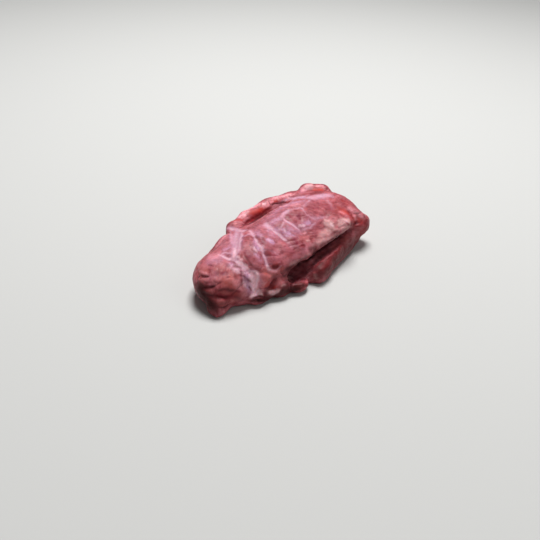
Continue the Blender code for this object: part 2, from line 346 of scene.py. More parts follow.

# %% [markdown]
# ## Lobes
# Between the clefts of the nose, the ends of the muscle bundles stand out as soft lobes about 6 mm
# across. They are painted paler than the clefts round them, and on their tops that is partly painted
# light.

# %% Lobes
LOBES = {
    "left_top": ([(198, 270), (202, 268), (206, 270)], 2.6, 0.8),
    "top": ([(213, 269), (219, 267.5), (226, 269.5)], 2.8, 0.7),
    "left": ([(198.5, 280), (203, 280.3), (207, 281.8)], 2.0, 0.9),
    "middle": ([(211, 281.5), (215, 280), (219, 279)], 2.2, 0.9),
    "right": ([(225, 281), (229, 278.5), (233, 281.5)], 3.0, 0.9),
    "low_left": ([(205, 290), (209, 290.8), (214, 291.8)], 1.5, 0.7),
    "low_middle": ([(221, 291.5), (226, 290), (231, 288)], 2.0, 0.6),
    "low_right": ([(239, 291), (243, 290), (246, 293)], 2.8, 1.0),
    "foot": ([(216, 301.5), (220, 300.8), (225, 302)], 2.0, 0.9),
    "foot_right": ([(230, 300), (234, 300.5), (240, 299)], 2.0, 0.7),
    "front": ([(257, 280), (261, 283.5), (263, 286)], 2.6, 1.0),
    "front_high": ([(262, 276), (268, 276.5), (273, 274)], 2.0, 0.7),
    "front_low": ([(272, 285), (277, 283), (282, 282)], 2.0, 0.7),
    "lump": ([(296, 284), (300, 283), (304, 284)], 1.6, 0.6),
    "roll": ([(246, 213.5), (252, 211.5), (258, 209.5)], 2.0, 0.6),
}
LOBE_LIFT = 0.5  # in mm
LOBE_ROUNDS = 6

lobe = painted(LOBES)
lobe_height = LOBE_LIFT * softened(lobe, LOBE_ROUNDS)
print("vertices in lobes:", covered(lobe))

# %% [markdown]
# ## Silverskin
# Silverskin is the thin sheet of connective tissue that wraps the muscle. Where it is thick it is
# white and runs in bands that tie the bundles down. Where it is thin it is a cool, lilac film over the
# red. The bands lie in shallow valleys, each with a fine cord along its middle.

# %% Bands of silverskin
BANDS = {
    "stem_right": ([(241.5, 231), (240.3, 240), (239, 247), (237, 252), (235, 256)], 1.1, 0.85),
    "stem_left": ([(230, 231), (231.8, 238), (233.5, 245), (234.5, 253)], 1.3, 0.4),
    "stem_middle": ([(236.5, 229), (236, 237), (236.5, 246), (235, 254)], 2.0, 0.55),
    "stem_top": ([(224, 228.5), (230, 228), (236, 229.5), (242, 231), (248, 229)], 1.2, 0.7),
    "heart": ([(235.5, 248), (233.8, 254), (235, 261)], 1.5, 1.0),
    "left_low": ([(236, 256), (231, 258), (227, 258.5), (223, 256.5), (217, 254.5)], 0.75, 0.8),
    "left_high": ([(233, 253), (229, 253.3), (225, 253), (220, 255)], 0.6, 0.6),
    "down": ([(234, 258), (238, 262), (241, 265), (243, 268), (247, 271.5)], 1.0, 0.75),
    "fan": (
        [(247, 270.5), (253, 271.5), (257.5, 275.5), (257.5, 282), (256, 289), (259.5, 293)], 0.6, 0.8
    ),
    "fan_left": ([(243, 269), (242.5, 275), (245, 281), (250, 285.5), (254, 291)], 0.5, 0.5),
    "near": ([(254, 236), (256.5, 241), (259, 244.8), (262, 248.5), (263.5, 254)], 0.65, 0.9),
    "near_top": ([(249, 229.5), (251.5, 232.5), (254, 237)], 1.3, 0.5),
    "near_low": ([(263, 253), (264.7, 258.5), (266.3, 263), (268.3, 267.5)], 0.65, 0.95),
    "near_foot": ([(268, 267), (271, 269.8), (275, 270.3), (279, 268.5), (281.3, 265.3)], 0.5, 0.35),
    "mid_top": ([(265, 222.5), (268.5, 227), (272.5, 230.3)], 2.1, 0.5),
    "mid": ([(272, 229.8), (275, 231.8), (278.5, 234.3), (283, 238), (287.5, 241.5)], 0.75, 1.0),
    "mid_foot": ([(286.5, 241), (290, 245), (292, 249)], 0.8, 0.15),
    "far": ([(283, 218.5), (287, 221.8), (291, 224), (295.5, 226.5), (300, 229.5)], 0.9, 0.75),
    "far_top": ([(281.5, 219), (283, 214.5), (286.5, 211.5), (291, 209.5)], 1.4, 0.45),
    "window_top": ([(289, 210), (295, 208.5), (301, 208), (304, 211), (308, 217)], 0.8, 0.3),
    "window_far": ([(302, 210), (305, 204.5), (309, 201), (315, 198.8), (322, 198.5)], 0.8, 0.25),
    "window_end": ([(322, 199), (327, 200.5), (330.5, 204), (332.5, 210)], 0.8, 0.15),
    "window_low": ([(307, 214.5), (314, 218.5), (321, 217.5), (327, 216.5)], 1.0, 0.3),
    "ridge_end": (
        [(303, 198.3), (312, 197.3), (317, 196.6), (322, 196), (327, 195), (333, 196)], 3.0, 0.45
    ),
    "ridge": ([(274, 207.5), (283, 201.5), (290, 198.6), (298, 197), (308, 195.3)], 1.2, 0.5),
    "round_top": ([(243, 238), (248, 234), (253, 233.5)], 0.7, 0.4),
    "cross_a": ([(258, 243), (263, 242), (268, 244)], 0.6, 0.2),
    "cross_b": ([(262, 251), (268, 250), (274, 252), (280, 256)], 0.6, 0.2),
    "cross_c": ([(277, 233.5), (281, 227), (286, 221)], 0.6, 0.35),
    "cross_d": ([(300, 229), (306, 229), (312, 226), (316, 221)], 0.7, 0.4),
}
BAND_VALLEY, BAND_CORD = 0.5, 0.08  # in mm
VALLEY_ROUNDS = 30

band = painted(BANDS)
band_height = BAND_CORD * band - BAND_VALLEY * softened(band, VALLEY_ROUNDS)
print("vertices under bands:", covered(band))

# %% [markdown]
# Where the sheet is thinnest it only dulls the red to a dusky pink, in a broad blush over most of the
# top. Between the bands it is worn through in oval windows, where the bare muscle shows.

# %% The blush and its windows
BLUSHES = {
    "back_slope": ([(250, 234), (262, 225), (272, 217), (280, 212)], 6.0, 0.4),
    "middle": ([(258, 250), (268, 243), (280, 236), (292, 231), (306, 224), (322, 215)], 7.0, 0.45),
    "lower": ([(262, 266), (274, 258), (288, 250), (302, 240)], 5.0, 0.3),
    "lower_edge": ([(286, 262), (294, 257), (304, 250), (310, 244)], 3.0, 0.45),
    "stem_side": ([(222, 236), (230, 244), (234, 258)], 6.0, 0.45),
    "nose_top": ([(206, 262), (216, 256), (228, 254)], 6.0, 0.45),
    "nose_side": ([(203, 281), (210, 279), (218, 277)], 3.0, 0.35),
    "end": ([(334, 202), (346, 205), (358, 213), (366, 221)], 3.0, 0.15),
    "ridge_top": ([(282, 209), (296, 203), (310, 200), (322, 199)], 3.5, 0.35),
    "mid_foot": ([(286, 242), (292, 245), (299, 247)], 2.5, 0.6),
}
WINDOWS = {
    "c": ([(309, 209), (313, 204.5), (320, 204), (323, 207)], 3.0, 0.9),
    "c_far": ([(326, 204), (329, 207), (330, 212)], 2.6, 0.9),
    "b": ([(289, 216.5), (294, 215.5), (300, 216.5)], 2.8, 1.0),
    "b_low": ([(292, 219.5), (297, 221), (301, 220)], 2.0, 0.8),
    "d": ([(314, 225), (319, 228.5), (324, 227)], 2.8, 0.9),
    "a": ([(245, 253), (248, 259), (254, 264), (261, 266)], 2.3, 1.0),
    "mid": ([(289, 239.5), (296, 241.5), (304, 243)], 1.8, 0.2),
    "near": ([(264, 253), (269, 254.5), (275, 254)], 1.8, 0.8),
    "near_low": ([(270, 262), (276, 261), (283, 260)], 2.2, 0.6),
    "near_high": ([(262, 235), (264, 240), (265, 246)], 1.4, 0.7),
    "mid_high": ([(278, 221), (280, 224.5), (282, 227)], 1.5, 0.6),
    "middle": ([(266, 249), (271, 250.5), (276, 250)], 2.0, 0.8),
}
BESIDE_BAND = {"rounds": 14, "gain": 2.2, "strength": 0.6}
WORN = 0.8  # the share of the blush that a window takes off


def beside(mask, rounds, gain, strength):
    """A soft border round a mask, which is as wide as the rounds and the gain make it."""
    return strength * np.clip(gain * softened(mask, rounds), 0, 1)


window = painted(WINDOWS)
blush = np.maximum(painted(BLUSHES), beside(band, **BESIDE_BAND))
blush *= (1 - WORN * window) * patchy(4.5, 2.0, level=1, swing=0.8, most=1.25)
print("vertices under the blush and in windows:", covered(blush), covered(window))

# %% [markdown]
# Where it is a little thicker, the sheet is a cool, lilac film. It lies in small patches, and in a
# narrow border along each band. On the top the lilac patches are partly painted sheen.

# %% The film and its painted sheen
FILMS_AND_SHEEN = {
    # the lilac patches on the top are partly painted sheen
    "round": ([(254, 240), (257, 246), (260, 251)], 2.2, 0.8),
    "round_low": ([(254, 252), (258, 257), (261, 262)], 2.0, 0.45),
    "stem": ([(238, 232), (240.5, 242), (240, 252)], 2.0, 0.4),
    "near_patch": ([(266, 239), (269.5, 240.5), (274, 242.5)], 2.0, 0.9),
    "near_high": ([(267, 229), (271, 233), (274, 237)], 2.4, 0.4),
    "mid_patch": ([(281, 230), (285.5, 231), (291, 233.5)], 2.0, 1.0),
    "mid_low": ([(284, 235), (290, 236), (295, 235)], 1.4, 0.5),
    "far_patch": ([(302.5, 226), (306, 224.5), (311, 221.5)], 2.0, 0.8),
    "ridge": ([(272, 214), (282, 207), (292, 203), (304, 200)], 3.2, 0.45),
    "web": ([(245, 271), (250, 278), (251, 286), (254, 293)], 3.6, 1.0),
    "ridge_near": ([(262, 222), (270, 217), (278, 213)], 2.4, 0.2),
    "top": ([(286, 226), (294, 230), (302, 231)], 1.8, 0.4),
    "nose_right": ([(240, 272), (234, 267), (228, 262)], 2.2, 0.45),
    "nose_high": ([(222, 250), (228, 248), (232, 244)], 2.4, 0.5),
    "tail": ([(301, 193), (304, 189), (308, 188)], 2.0, 0.4),
    "ridge_far": ([(290, 199), (298, 197.5), (308, 197)], 2.0, 0.8),
    "mid_top": ([(270, 228), (274, 222), (281, 217)], 2.6, 0.55),
    "near_top": ([(253, 232), (258, 233), (262, 238)], 2.2, 0.5),
    "fan_right": ([(254, 273), (257, 281), (257, 290)], 2.2, 0.9),
    "nose": ([(206, 264), (214, 260), (222, 262)], 4.0, 0.3),
    "mid_side": ([(274, 227.5), (277, 230), (280, 232)], 1.5, 0.7),
}
CLOSE_TO_BAND = {"rounds": 7, "gain": 2.5, "strength": 0.5}

film_and_sheen = painted(FILMS_AND_SHEEN) * patchy(3.0, 6.0, level=1, swing=0.8, most=1.25)
film_and_sheen = np.maximum(film_and_sheen, beside(band, **CLOSE_TO_BAND))
print("vertices under film:", covered(film_and_sheen))

# %% [markdown]
# ## Fat
# Trimming leaves pale, waxy fat along the lip and in small crumbs by the foot. Fat stands proud of the
# muscle and is lumpy, and at a cut edge it frays.

# %% Fat
FATS = {
    "pad": ([(325, 219), (327.5, 222), (330.5, 225), (334.5, 229.5)], 2.0, 1.0),
    "pad_side": ([(331, 223), (330, 228), (328, 233)], 1.8, 0.6),
    "finger": ([(336.5, 225), (340, 222), (344, 219.8), (348.5, 220.8), (351, 224)], 1.7, 0.9),
    "finger_low": ([(351, 226), (346, 230.5), (341, 234)], 1.6, 0.5),
    "lip": ([(341, 235), (334, 237.5), (327, 239.5), (320, 242), (314, 244)], 2.3, 0.65),
    "lip_top": ([(333, 229), (326, 232.5), (319, 237)], 2.4, 0.7),
    "lip_fringe": ([(315, 243), (313, 248), (311, 252.5)], 1.4, 0.6),
    "lip_edge": ([(313, 250.5), (309, 254), (304.5, 256.8), (299, 260)], 1.1, 0.35),
    "lip_end": ([(300, 260), (294.5, 263), (289, 265)], 1.2, 0.6),
    "crumb_right": ([(280.5, 289.5), (276, 292), (272, 293), (266.5, 291.5)], 1.3, 1.0),
    "crumb_left": ([(255, 290.5), (259, 293), (263.5, 296)], 1.1, 0.85),
    "crumb_lump": ([(280.5, 286.5), (283, 285.7), (286.5, 285)], 0.9, 0.6),
    "fleck": ([(306, 240.5), (308, 240.7), (310.5, 240.3)], 0.7, 0.6),
    "roll_fleck": ([(262, 205.3), (265, 204.3), (268, 203)], 1.4, 0.4),
    "roll_fleck_far": ([(277, 195.5), (277.5, 198), (279, 201)], 0.8, 0.5),
    "roll_fleck_near": ([(242, 214.3), (245, 213), (249, 211.3)], 1.0, 0.5),
    "tail_top": ([(303, 189), (306, 186.5), (310, 185.5), (314, 186.3)], 1.5, 0.5),
    "finger_fill": ([(338, 226.5), (342, 224.5), (346, 223)], 1.6, 0.8),
    "pad_low": ([(330, 229), (335, 230.5), (340, 229.5)], 1.5, 0.6),
    "finger_inner": ([(340, 229.5), (345, 227.7), (349, 226.2)], 1.5, 0.7),
    "lump_fleck": ([(287.5, 279), (290, 277.5), (293, 278.5)], 1.2, 0.6),
    "flap_tip": ([(313.5, 273), (315, 276), (316, 280)], 1.4, 0.5),
}
FAT_LIFT, FAT_LUMP, LUMP_SPACING = 0.35, 0.8, 2.8  # in mm
FAT_ROUNDS = 3

fat = painted(FATS)
fat_height = softened(fat, FAT_ROUNDS) * (FAT_LIFT + FAT_LUMP * cloud(LUMP_SPACING, 3.0))
print("vertices under fat:", covered(fat))

# %% [markdown]
# ## Where the red changes
# Muscle isn't one red. A fresh cut blooms in the air and turns bright, almost orange: along the roll, on
# its knot and in a few places on the squared end.

# %% Bright red
BRIGHT = {
    "roll": ([(249, 214), (254, 212), (259, 210.5), (265, 207.5)], 2.0, 0.9),
    "roll_near": ([(229, 222), (236, 219.8), (243, 219.8)], 1.6, 0.7),
    "roll_far": ([(270, 202), (276, 201), (285, 199)], 1.4, 0.7),
    "tail": ([(312, 190.3), (318, 189.6), (324, 189.4)], 2.0, 1.0),
    "end": ([(339, 212), (342, 212.5), (345, 212), (348, 215)], 2.2, 0.7),
    "end_high": ([(341, 200), (346, 203.5), (351, 207.5)], 1.4, 0.4),
    "end_low": ([(352, 217), (358, 218.5), (364, 220)], 2.0, 0.35),
    "lump": ([(295, 286), (301, 288), (306, 285)], 1.8, 0.3),
    "pit": ([(273, 266), (276, 265), (279, 264)], 1.5, 0.6),
    "roll_low": ([(269, 203), (276, 201), (284, 199.8), (291, 198.5)], 1.1, 0.9),
    "lobe": ([(261, 277), (265, 282), (269, 287)], 2.4, 0.5),
    "lobe_low": ([(262, 288), (270, 288), (278, 286)], 1.4, 0.5),
}

bright = painted(BRIGHT)
print("vertices in bright red:", covered(bright))

# %% [markdown]
# The squared end, the flap and the foot are a full red, because no skin covers them.

# %% Full red
REDS = {
    "end": ([(334, 204), (339, 208), (344, 214)], 4.0, 0.75),
    "end_edge": ([(344, 198), (352, 205), (361, 213)], 2.5, 0.6),
    "end_side": ([(350, 222), (357, 220), (365, 225)], 4.0, 0.8),
    "end_foot": ([(367, 226), (360, 236), (352, 245)], 5.0, 1.0),
    "window_c": ([(326, 203), (331, 208), (335, 215)], 3.0, 0.5),
    "flap": ([(316, 275), (328, 264), (340, 253), (352, 243)], 5.0, 0.8),
    "lumps": ([(270, 296), (282, 292), (294, 288), (304, 288)], 4.0, 0.6),
    "nose_foot": ([(204, 292), (214, 300), (226, 305)], 4.0, 0.5),
    "tail": ([(315, 191), (320, 190.7), (325, 190)], 1.2, 0.9),
    "slope": ([(272, 212), (280, 207.5), (289, 204.5)], 1.8, 0.35),
    "end_top": ([(340, 199.5), (346, 201.5), (352, 206)], 2.2, 0.8),
    "c_far": ([(331, 202), (336, 204), (339, 207)], 1.8, 0.6),
    "end_corner": ([(358, 220), (363, 222), (367, 225)], 2.2, 0.8),
    "lower": ([(283, 248), (292, 250), (300, 250)], 3.0, 0.3),
    "roll_low": ([(268, 205), (274, 202.5), (281, 201.3), (289, 200)], 1.2, 0.8),
    "end_fold": ([(340, 203.5), (345, 206), (349, 208)], 1.3, 0.8),
    "end_gap": ([(347, 213), (350, 216.5), (352, 220)], 1.5, 0.9),
    "mid": ([(281, 238), (287, 243), (293, 246.5)], 1.8, 0.5),
    "nose": ([(222, 289), (230, 291), (240, 296)], 3.0, 0.4),
    "under": ([(284, 254), (290, 252), (297, 251)], 2.2, 1.0),
    "nose_low": ([(212, 296), (222, 298), (232, 297), (240, 296)], 2.2, 0.7),
    "flap_end": ([(313, 268), (318, 265), (324, 261)], 2.5, 0.8),
}

red = painted(REDS)
print("vertices in full red:", covered(red))

# %% [markdown]
# The nose is more of a salmon colour. There the bundles are cut across, and their ends look paler and
# warmer than their sides.

# %% Salmon
SALMON = {
    "end": ([(335, 205), (341, 210), (346, 214)], 3.0, 0.6),
    "end_side": ([(352, 216), (359, 218), (365, 221)], 2.5, 0.5),
    "nose_front": ([(221, 284), (229, 281), (238, 285)], 4.5, 0.85),
    "nose_low": ([(219, 292), (229, 292), (241, 294)], 4.0, 0.75),
    "nose_foot": ([(216, 302), (224, 303), (236, 299)], 3.0, 0.5),
    "nose_left": ([(198, 272), (203, 271), (208, 273.5)], 1.8, 0.9),
    "nose_edge": ([(197, 264), (200, 260), (205, 256)], 2.0, 0.4),
    "lobe": ([(259, 276), (264, 283), (268, 277)], 3.5, 0.7),
    "lobe_high": ([(262, 272), (270, 273), (278, 272)], 2.6, 0.8),
    "lobe_right": ([(275, 273), (280, 270), (283, 266)], 2.0, 0.6),
    "chin": ([(300, 240), (306, 236), (311, 232)], 3.0, 0.4),
    "under_middle": ([(284, 262), (292, 256), (300, 250)], 3.0, 0.35),
    "flap_end": ([(313, 272), (315, 277), (318, 282)], 2.0, 0.4),
    "flap_high": ([(330, 250), (337, 245), (344, 240), (350, 234)], 2.2, 0.55),
    "nose_high": ([(222, 276), (230, 274), (237, 277)], 2.5, 0.4),
    "nose_inner": ([(218.5, 294.3), (223, 294.7), (227.5, 293.5)], 1.0, 0.9),
}

salmon = painted(SALMON)
print("vertices in salmon:", covered(salmon))

# %% [markdown]
# Where a little fat lies thin over the muscle, it turns the red to a light pink. Much of this pink is
# painted highlight: along the top of the roll, on the tail, on the fold of the squared end and down the
# fan of silverskin beside the nose.

# %% Pink and painted highlights
PINK_AND_HIGHLIGHTS = {
    # painted highlight in part: the end's fold, the roll's top, the tail and the fan
    "end_fold": ([(347, 206.5), (352, 209.5), (358, 213.5), (365, 218.5)], 1.6, 1.0),
    "roll_top": ([(236, 217), (242, 213), (250, 208.5), (258, 204.5), (264, 202)], 1.6, 1.0),
    "roll_knot": ([(261.5, 206.5), (266, 205.5), (270, 203.5)], 2.0, 1.0),
    "roll_far": ([(268, 200), (276, 197.5), (285, 195.8), (296, 193.5)], 2.0, 0.85),
    "roll_shelf": ([(271, 208.5), (276, 207), (283, 206), (290, 204.5)], 0.9, 0.7),
    "cleft_side": ([(246, 227), (254, 222.5), (262, 218)], 1.0, 0.3),
    "roll_near": ([(228, 221.5), (234, 218.5), (240, 216.8), (247, 214.5)], 1.6, 0.9),
    "tail": ([(302, 191), (304, 187.5), (309, 185.5), (314, 187)], 2.2, 0.9),
    "tail_far": ([(315, 186.3), (320, 185.8), (325, 187)], 1.2, 0.9),
    "nose_left": ([(199, 271), (203, 272), (208, 274.3)], 0.9, 0.7),
    "front": ([(266, 268), (272, 271.5), (279, 271)], 1.4, 0.6),
    "lobe": ([(258, 276), (262, 281), (264, 286)], 2.2, 0.4),
    "nose": ([(233, 280), (238, 284), (241, 290)], 2.2, 0.6),
    "nose_top": ([(206, 259), (214, 256), (222, 256)], 3.5, 0.4),
    "round_low": ([(247, 262), (253, 264), (259, 265)], 1.6, 0.3),
    "end": ([(338, 211), (342, 212.5), (346, 213.5)], 1.8, 0.45),
    "window_b": ([(294, 215), (298, 218)], 1.8, 0.25),
    "roll_fleck": ([(264, 205), (269, 202.5), (274, 201)], 1.3, 1.0),
    "far": ([(303, 231.5), (306, 233.5)], 1.5, 0.5),
    "fan_foot": ([(249, 298), (254, 296), (260, 297)], 1.8, 0.8),
    "fan": ([(252, 272), (256.5, 279), (256.5, 287), (258, 295)], 2.7, 1.0),
    "end_side": ([(353, 213), (355, 216), (356.5, 220)], 1.8, 0.6),
    "roll_end": ([(233, 223.5), (238, 222.5), (243, 222)], 1.8, 0.5),
    "cleft_far": ([(268, 208), (274, 205), (281, 203.5), (289, 201)], 1.3, 0.7),
    "crumb_side": ([(259, 291.5), (264, 290.5), (270, 288.5)], 1.4, 0.6),
    "slope_top": ([(289, 206), (294, 205), (301, 203.5)], 2.2, 0.45),
    "roll_inner": ([(243, 220.5), (246.5, 219), (250, 217.5)], 1.0, 0.7),
    "edge_left": ([(214, 249.5), (220.5, 241), (228, 232.5)], 1.5, 0.6),
    "fan_right": ([(255, 276), (257, 283), (257, 289)], 1.5, 0.8),
}

pink_and_highlight = painted(PINK_AND_HIGHLIGHTS)
print("vertices in pink:", covered(pink_and_highlight))

# %% [markdown]
# Where air has hardly reached the muscle, it is a crimson that is almost purple. That shows in small
# spots, most of them at the edges of the windows. The crimson band along the cleft behind the roll is
# painted shade.

# %% Crimson
CRIMSON = {
    "b_left": ([(287.5, 215.5), (289.5, 216.5), (290.5, 218.5)], 1.2, 0.85),
    "b_right": ([(300, 212.5), (298.8, 216), (300.5, 219.5)], 1.5, 0.95),
    "b_low": ([(293, 220.5), (297.5, 222)], 1.0, 0.5),
    "between": ([(280.8, 223.8), (279.5, 226)], 0.9, 0.8),
    "near": ([(262, 236.5), (263.5, 241), (264.7, 246)], 1.1, 0.9),
    "near_streak": ([(271, 255.3), (275, 255), (279, 255.6)], 0.7, 0.6),
    "near_side": ([(277, 244.5), (278.5, 248)], 0.9, 0.5),
    "round": ([(243.5, 250), (247, 252), (250, 254.5), (247, 258)], 2.2, 0.8),
    "round_edge": ([(251, 256), (252.5, 253.5)], 1.0, 0.8),
    "round_top": ([(249.5, 241), (250, 246)], 0.9, 0.5),
    "nose": ([(217.5, 270.5), (216.5, 274), (215.7, 277.5)], 1.3, 0.8),
    "nose_mid": ([(220.5, 272), (224, 273.5), (228.5, 273)], 1.6, 0.8),
    "nose_high": ([(224, 263.5), (227, 265), (229, 267)], 1.3, 0.6),
    "nose_low": ([(226, 277), (229.5, 278.5)], 1.2, 0.5),
    "nose_streak": ([(235, 289.5), (238, 291.5), (241, 292)], 0.9, 0.6),
    "web": ([(232.5, 265.3), (235, 266.5), (238, 267)], 0.8, 0.9),
    "end": ([(335.5, 204), (336, 208.5)], 1.0, 0.7),
    "end_high": ([(343.5, 202.8), (347, 204)], 0.9, 0.7),
    "c_low": ([(326.5, 214.8), (329, 215.3)], 0.9, 0.7),
    "c_mid": ([(312, 207), (316, 208), (321, 208.5)], 1.2, 0.4),
    "pad": ([(331, 218.3), (334.5, 218.6)], 0.7, 0.7),
    "pad_low": ([(324, 225), (325, 227.3)], 0.9, 0.6),
    "roll": ([(241, 215.8), (243.8, 216.8)], 0.7, 0.4),
    "nose_front": ([(216, 296), (224, 297), (232, 296)], 1.6, 0.8),
    "mid_side": ([(292.5, 237.5), (295, 240.5), (297, 244.5)], 1.5, 0.7),
    # painted shade along the cleft behind the roll
    "cleft_slope_shade": ([(249, 223.5), (255, 220.5), (261, 217), (267, 213.5)], 1.6, 0.7),
}

crimson = painted(CRIMSON)
print("vertices in crimson:", covered(crimson))

# %% [markdown]
# Fine dark lines run between the bundles and over the fan, where a small vein or a seam lies just under
# the surface. The same dark red under the lip and at the foot of the nose is painted shade.

# %% Veins, dark seams and painted shade
VEINS_AND_SHADE = {
    "round": ([(247, 262), (252, 266.3), (257, 267.8), (262, 267)], 1.2, 0.35),
    "round_side": ([(242, 240), (242.3, 246), (242.7, 250)], 0.9, 0.4),
    "window_d": ([(317, 225), (321, 229), (325, 226)], 1.3, 0.35),
    "window_d_edge": ([(310, 230.5), (313.5, 231.5), (317, 232.2)], 0.9, 0.4),
    "mid": ([(288.5, 239.5), (290, 239.2), (292, 238.5)], 1.1, 0.35),
    "mid_pit": ([(301.5, 246.3), (303.5, 246), (306, 245)], 0.9, 0.5),
    "near": ([(264.5, 253), (268, 254.3), (272, 254.8)], 1.6, 0.4),
    "pit": ([(272.5, 266.5), (275.5, 267.3), (278, 265.8)], 1.0, 0.4),
    "pad_gap": ([(337.5, 228), (341, 226.3), (344, 224.8)], 0.7, 0.3),
    "pad_foot": ([(329, 235), (333.5, 232.6), (338, 230.5)], 0.9, 0.6),
    "vein_a": ([(240, 275), (245, 277), (249, 280.5), (253, 282.3)], 0.5, 0.8),
    "vein_b": ([(241.3, 278), (241.5, 283), (242, 287)], 0.7, 0.6),
    "vein_c": ([(248.5, 286), (250.5, 288), (252, 290.5)], 0.7, 0.8),
    "vein_d": ([(232.5, 264), (238, 266.7), (242, 268)], 0.6, 0.7),
    "vein_e": ([(239.5, 270.3), (241.5, 271.5), (244, 273.3)], 0.5, 0.6),
    "vein_f": ([(255.5, 245), (257, 248.5), (258.5, 252)], 0.7, 0.4),
    "vein_g": ([(207, 265), (209.5, 265.3), (212, 265.8)], 0.7, 0.4),
    "streak_a": ([(219.5, 282), (222, 281.8), (224.5, 280.5)], 0.7, 0.35),
    "streak_b": ([(234, 292), (237, 290.8), (239.5, 291.5)], 0.8, 0.6),
    "streak_c": ([(239, 298), (242, 300), (245, 300.5)], 0.8, 0.6),
    "lobe_side": ([(271, 286), (272.5, 281.5), (275.5, 277.5)], 1.5, 0.4),
    # painted shade under the lip, from here down to the notch
    "lip_foot": ([(346, 234), (338, 241), (330, 246), (322, 249)], 1.0, 0.6),
    "lip_low": ([(310, 255), (304, 258.5), (298, 261), (292, 265)], 1.6, 0.4),
    "under": ([(288, 252), (294, 252.5), (300, 250)], 1.2, 0.5),
    "middle": ([(266, 249.5), (270, 250.5), (274, 250)], 1.2, 0.5),
    "lip_rim": ([(347, 230.5), (341, 234.5), (334, 238.5), (327, 242), (319, 246)], 1.4, 0.8),
    "lip_notch": ([(318, 245), (313, 248), (309, 252)], 2.0, 0.8),
    "nose_inner": ([(217, 293), (220.5, 290.7), (227, 290), (232, 290.8), (237, 290.6)], 1.2, 0.65),
    "nose_right_low": ([(233, 296.5), (237, 297.7), (241, 299.5)], 1.4, 0.7),
    "nose_patch": ([(233.5, 273), (235, 276.5), (236.5, 280)], 1.2, 0.5),
    "nose_upper": ([(216, 282.5), (219.5, 281.5), (223, 280)], 1.0, 0.35),
    # painted shade at the foot of the nose
    "nose_foot": ([(219, 303.5), (224.5, 303.5), (231, 302)], 1.4, 0.5),
}

veins_and_shade = painted(VEINS_AND_SHADE)
print("vertices in veins and dark seams:", covered(veins_and_shade))

# %% [markdown]
# Silverskin and fat are whitest where they are thickest: in the heart where the bands meet, along the
# edges of the fan, and on the tips of the fat. Part of this white is painted highlight: the small marks
# on the heart, the round, the tail and the top of the roll, and the broad white over the fan.

# %% White and painted highlights
WHITES_AND_HIGHLIGHTS = {
    # painted highlight in part: the heart, round, tail and roll strokes, and the fan's
    "heart": ([(234.5, 247), (235, 252), (234, 257)], 1.3, 0.5),
    "fan_foot": ([(249, 297), (253.5, 295), (257.5, 291.8), (262, 294)], 1.7, 0.9),
    "fork_down": ([(234.5, 261.5), (240, 262.5), (245, 266), (249.5, 269.5)], 1.4, 0.7),
    "near_foot": ([(266.5, 264), (268.5, 268), (271, 270)], 1.0, 0.5),
    "roll_top": ([(262, 204.5), (266, 203.3)], 1.1, 0.6),
    "mid_blob": ([(283, 230.3), (286, 231)], 1.3, 0.45),
    "near_blob": ([(267.5, 239.5), (270.5, 240.5)], 1.1, 0.4),
    "pad": ([(331, 223), (333, 226)], 1.3, 0.35),
    "finger": ([(344, 220.5), (348, 221.5)], 1.2, 0.5),
    "crumb": ([(268, 292), (273, 292.5), (280, 289)], 1.5, 0.45),
    "roll_near": ([(238, 217), (242, 215), (247, 213)], 1.1, 0.4),
    "tail": ([(306, 189), (309, 187), (312, 188)], 1.3, 0.4),
    "round": ([(253, 246), (256, 249.5), (258, 252)], 1.6, 0.5),
    "far_blob": ([(298, 225.5), (302, 226), (306, 225)], 1.1, 0.6),
    "fan_edge": (
        [(250, 271), (256, 272), (257.5, 277), (257, 284), (256.5, 289.5), (259.5, 293)], 1.0, 0.9
    ),
    "fan_left": ([(241, 271), (245, 273), (250, 271.5)], 0.8, 0.4),
    "fan_fill": ([(249, 272), (252.5, 278), (254, 286), (254.5, 293)], 2.4, 0.8),
    "heart_low": ([(236, 255), (239, 258), (243, 260.5)], 1.2, 0.6),
    "fork_low": ([(231, 269), (236, 270.5), (241, 272.5)], 1.6, 0.5),
    "fan_mid": ([(242.5, 281), (244, 284), (246, 287)], 1.3, 0.5),
}

white_and_highlight = painted(WHITES_AND_HIGHLIGHTS)
print("vertices in white:", covered(white_and_highlight))

# %% [markdown]
# ## Juice and painted shade
# The foot of the piece, the flap and the lower rim of the nose are painted dark: partly juice soaked
# into the bare muscle, partly painted shade. Under the lip, in the pocket and in the folds the paint is
# almost black, and that is painted shade alone. Fat and silverskin don't take up juice, so both masks
# are weaker on them.

# %% Juice and painted shade
# juice in part, painted shade in part: the foot, the flap and the nose's rim
JUICE_AND_SHADE = {
    "flap": ([(318, 279), (328, 268), (340, 257), (352, 246), (360, 238)], 6.0, 0.7),
    "flap_top": ([(318, 268), (324, 262), (332, 256), (340, 250)], 3.0, 0.6),
    "end_foot": ([(360, 240), (366, 233), (369, 227), (371, 221)], 3.0, 0.6),
    "nose_foot": ([(198, 281), (201, 290), (206, 299), (211, 306), (216, 312)], 4.5, 1.0),
    "nose_low": ([(204, 290), (210, 298), (215, 304)], 2.5, 0.45),
    "nose_side": ([(198, 283), (203, 284.5), (209, 286)], 1.6, 0.5),
    "lumps": ([(262, 300), (272, 297), (282, 293), (292, 290), (302, 289)], 4.0, 1.0),
    "lump_right": ([(292, 287), (300, 284), (306, 285)], 3.0, 0.8),
    "under_lip": ([(283, 279), (288, 276), (294, 280)], 3.0, 0.7),
    "flap_left": ([(314, 270), (318, 268), (321, 271), (319, 276)], 2.6, 0.6),
    "nose_rim": (
        [(195.5, 284), (198, 291), (203.5, 298.5), (207.5, 304), (209.5, 309), (213, 313)], 4.0, 1.0
    ),
}
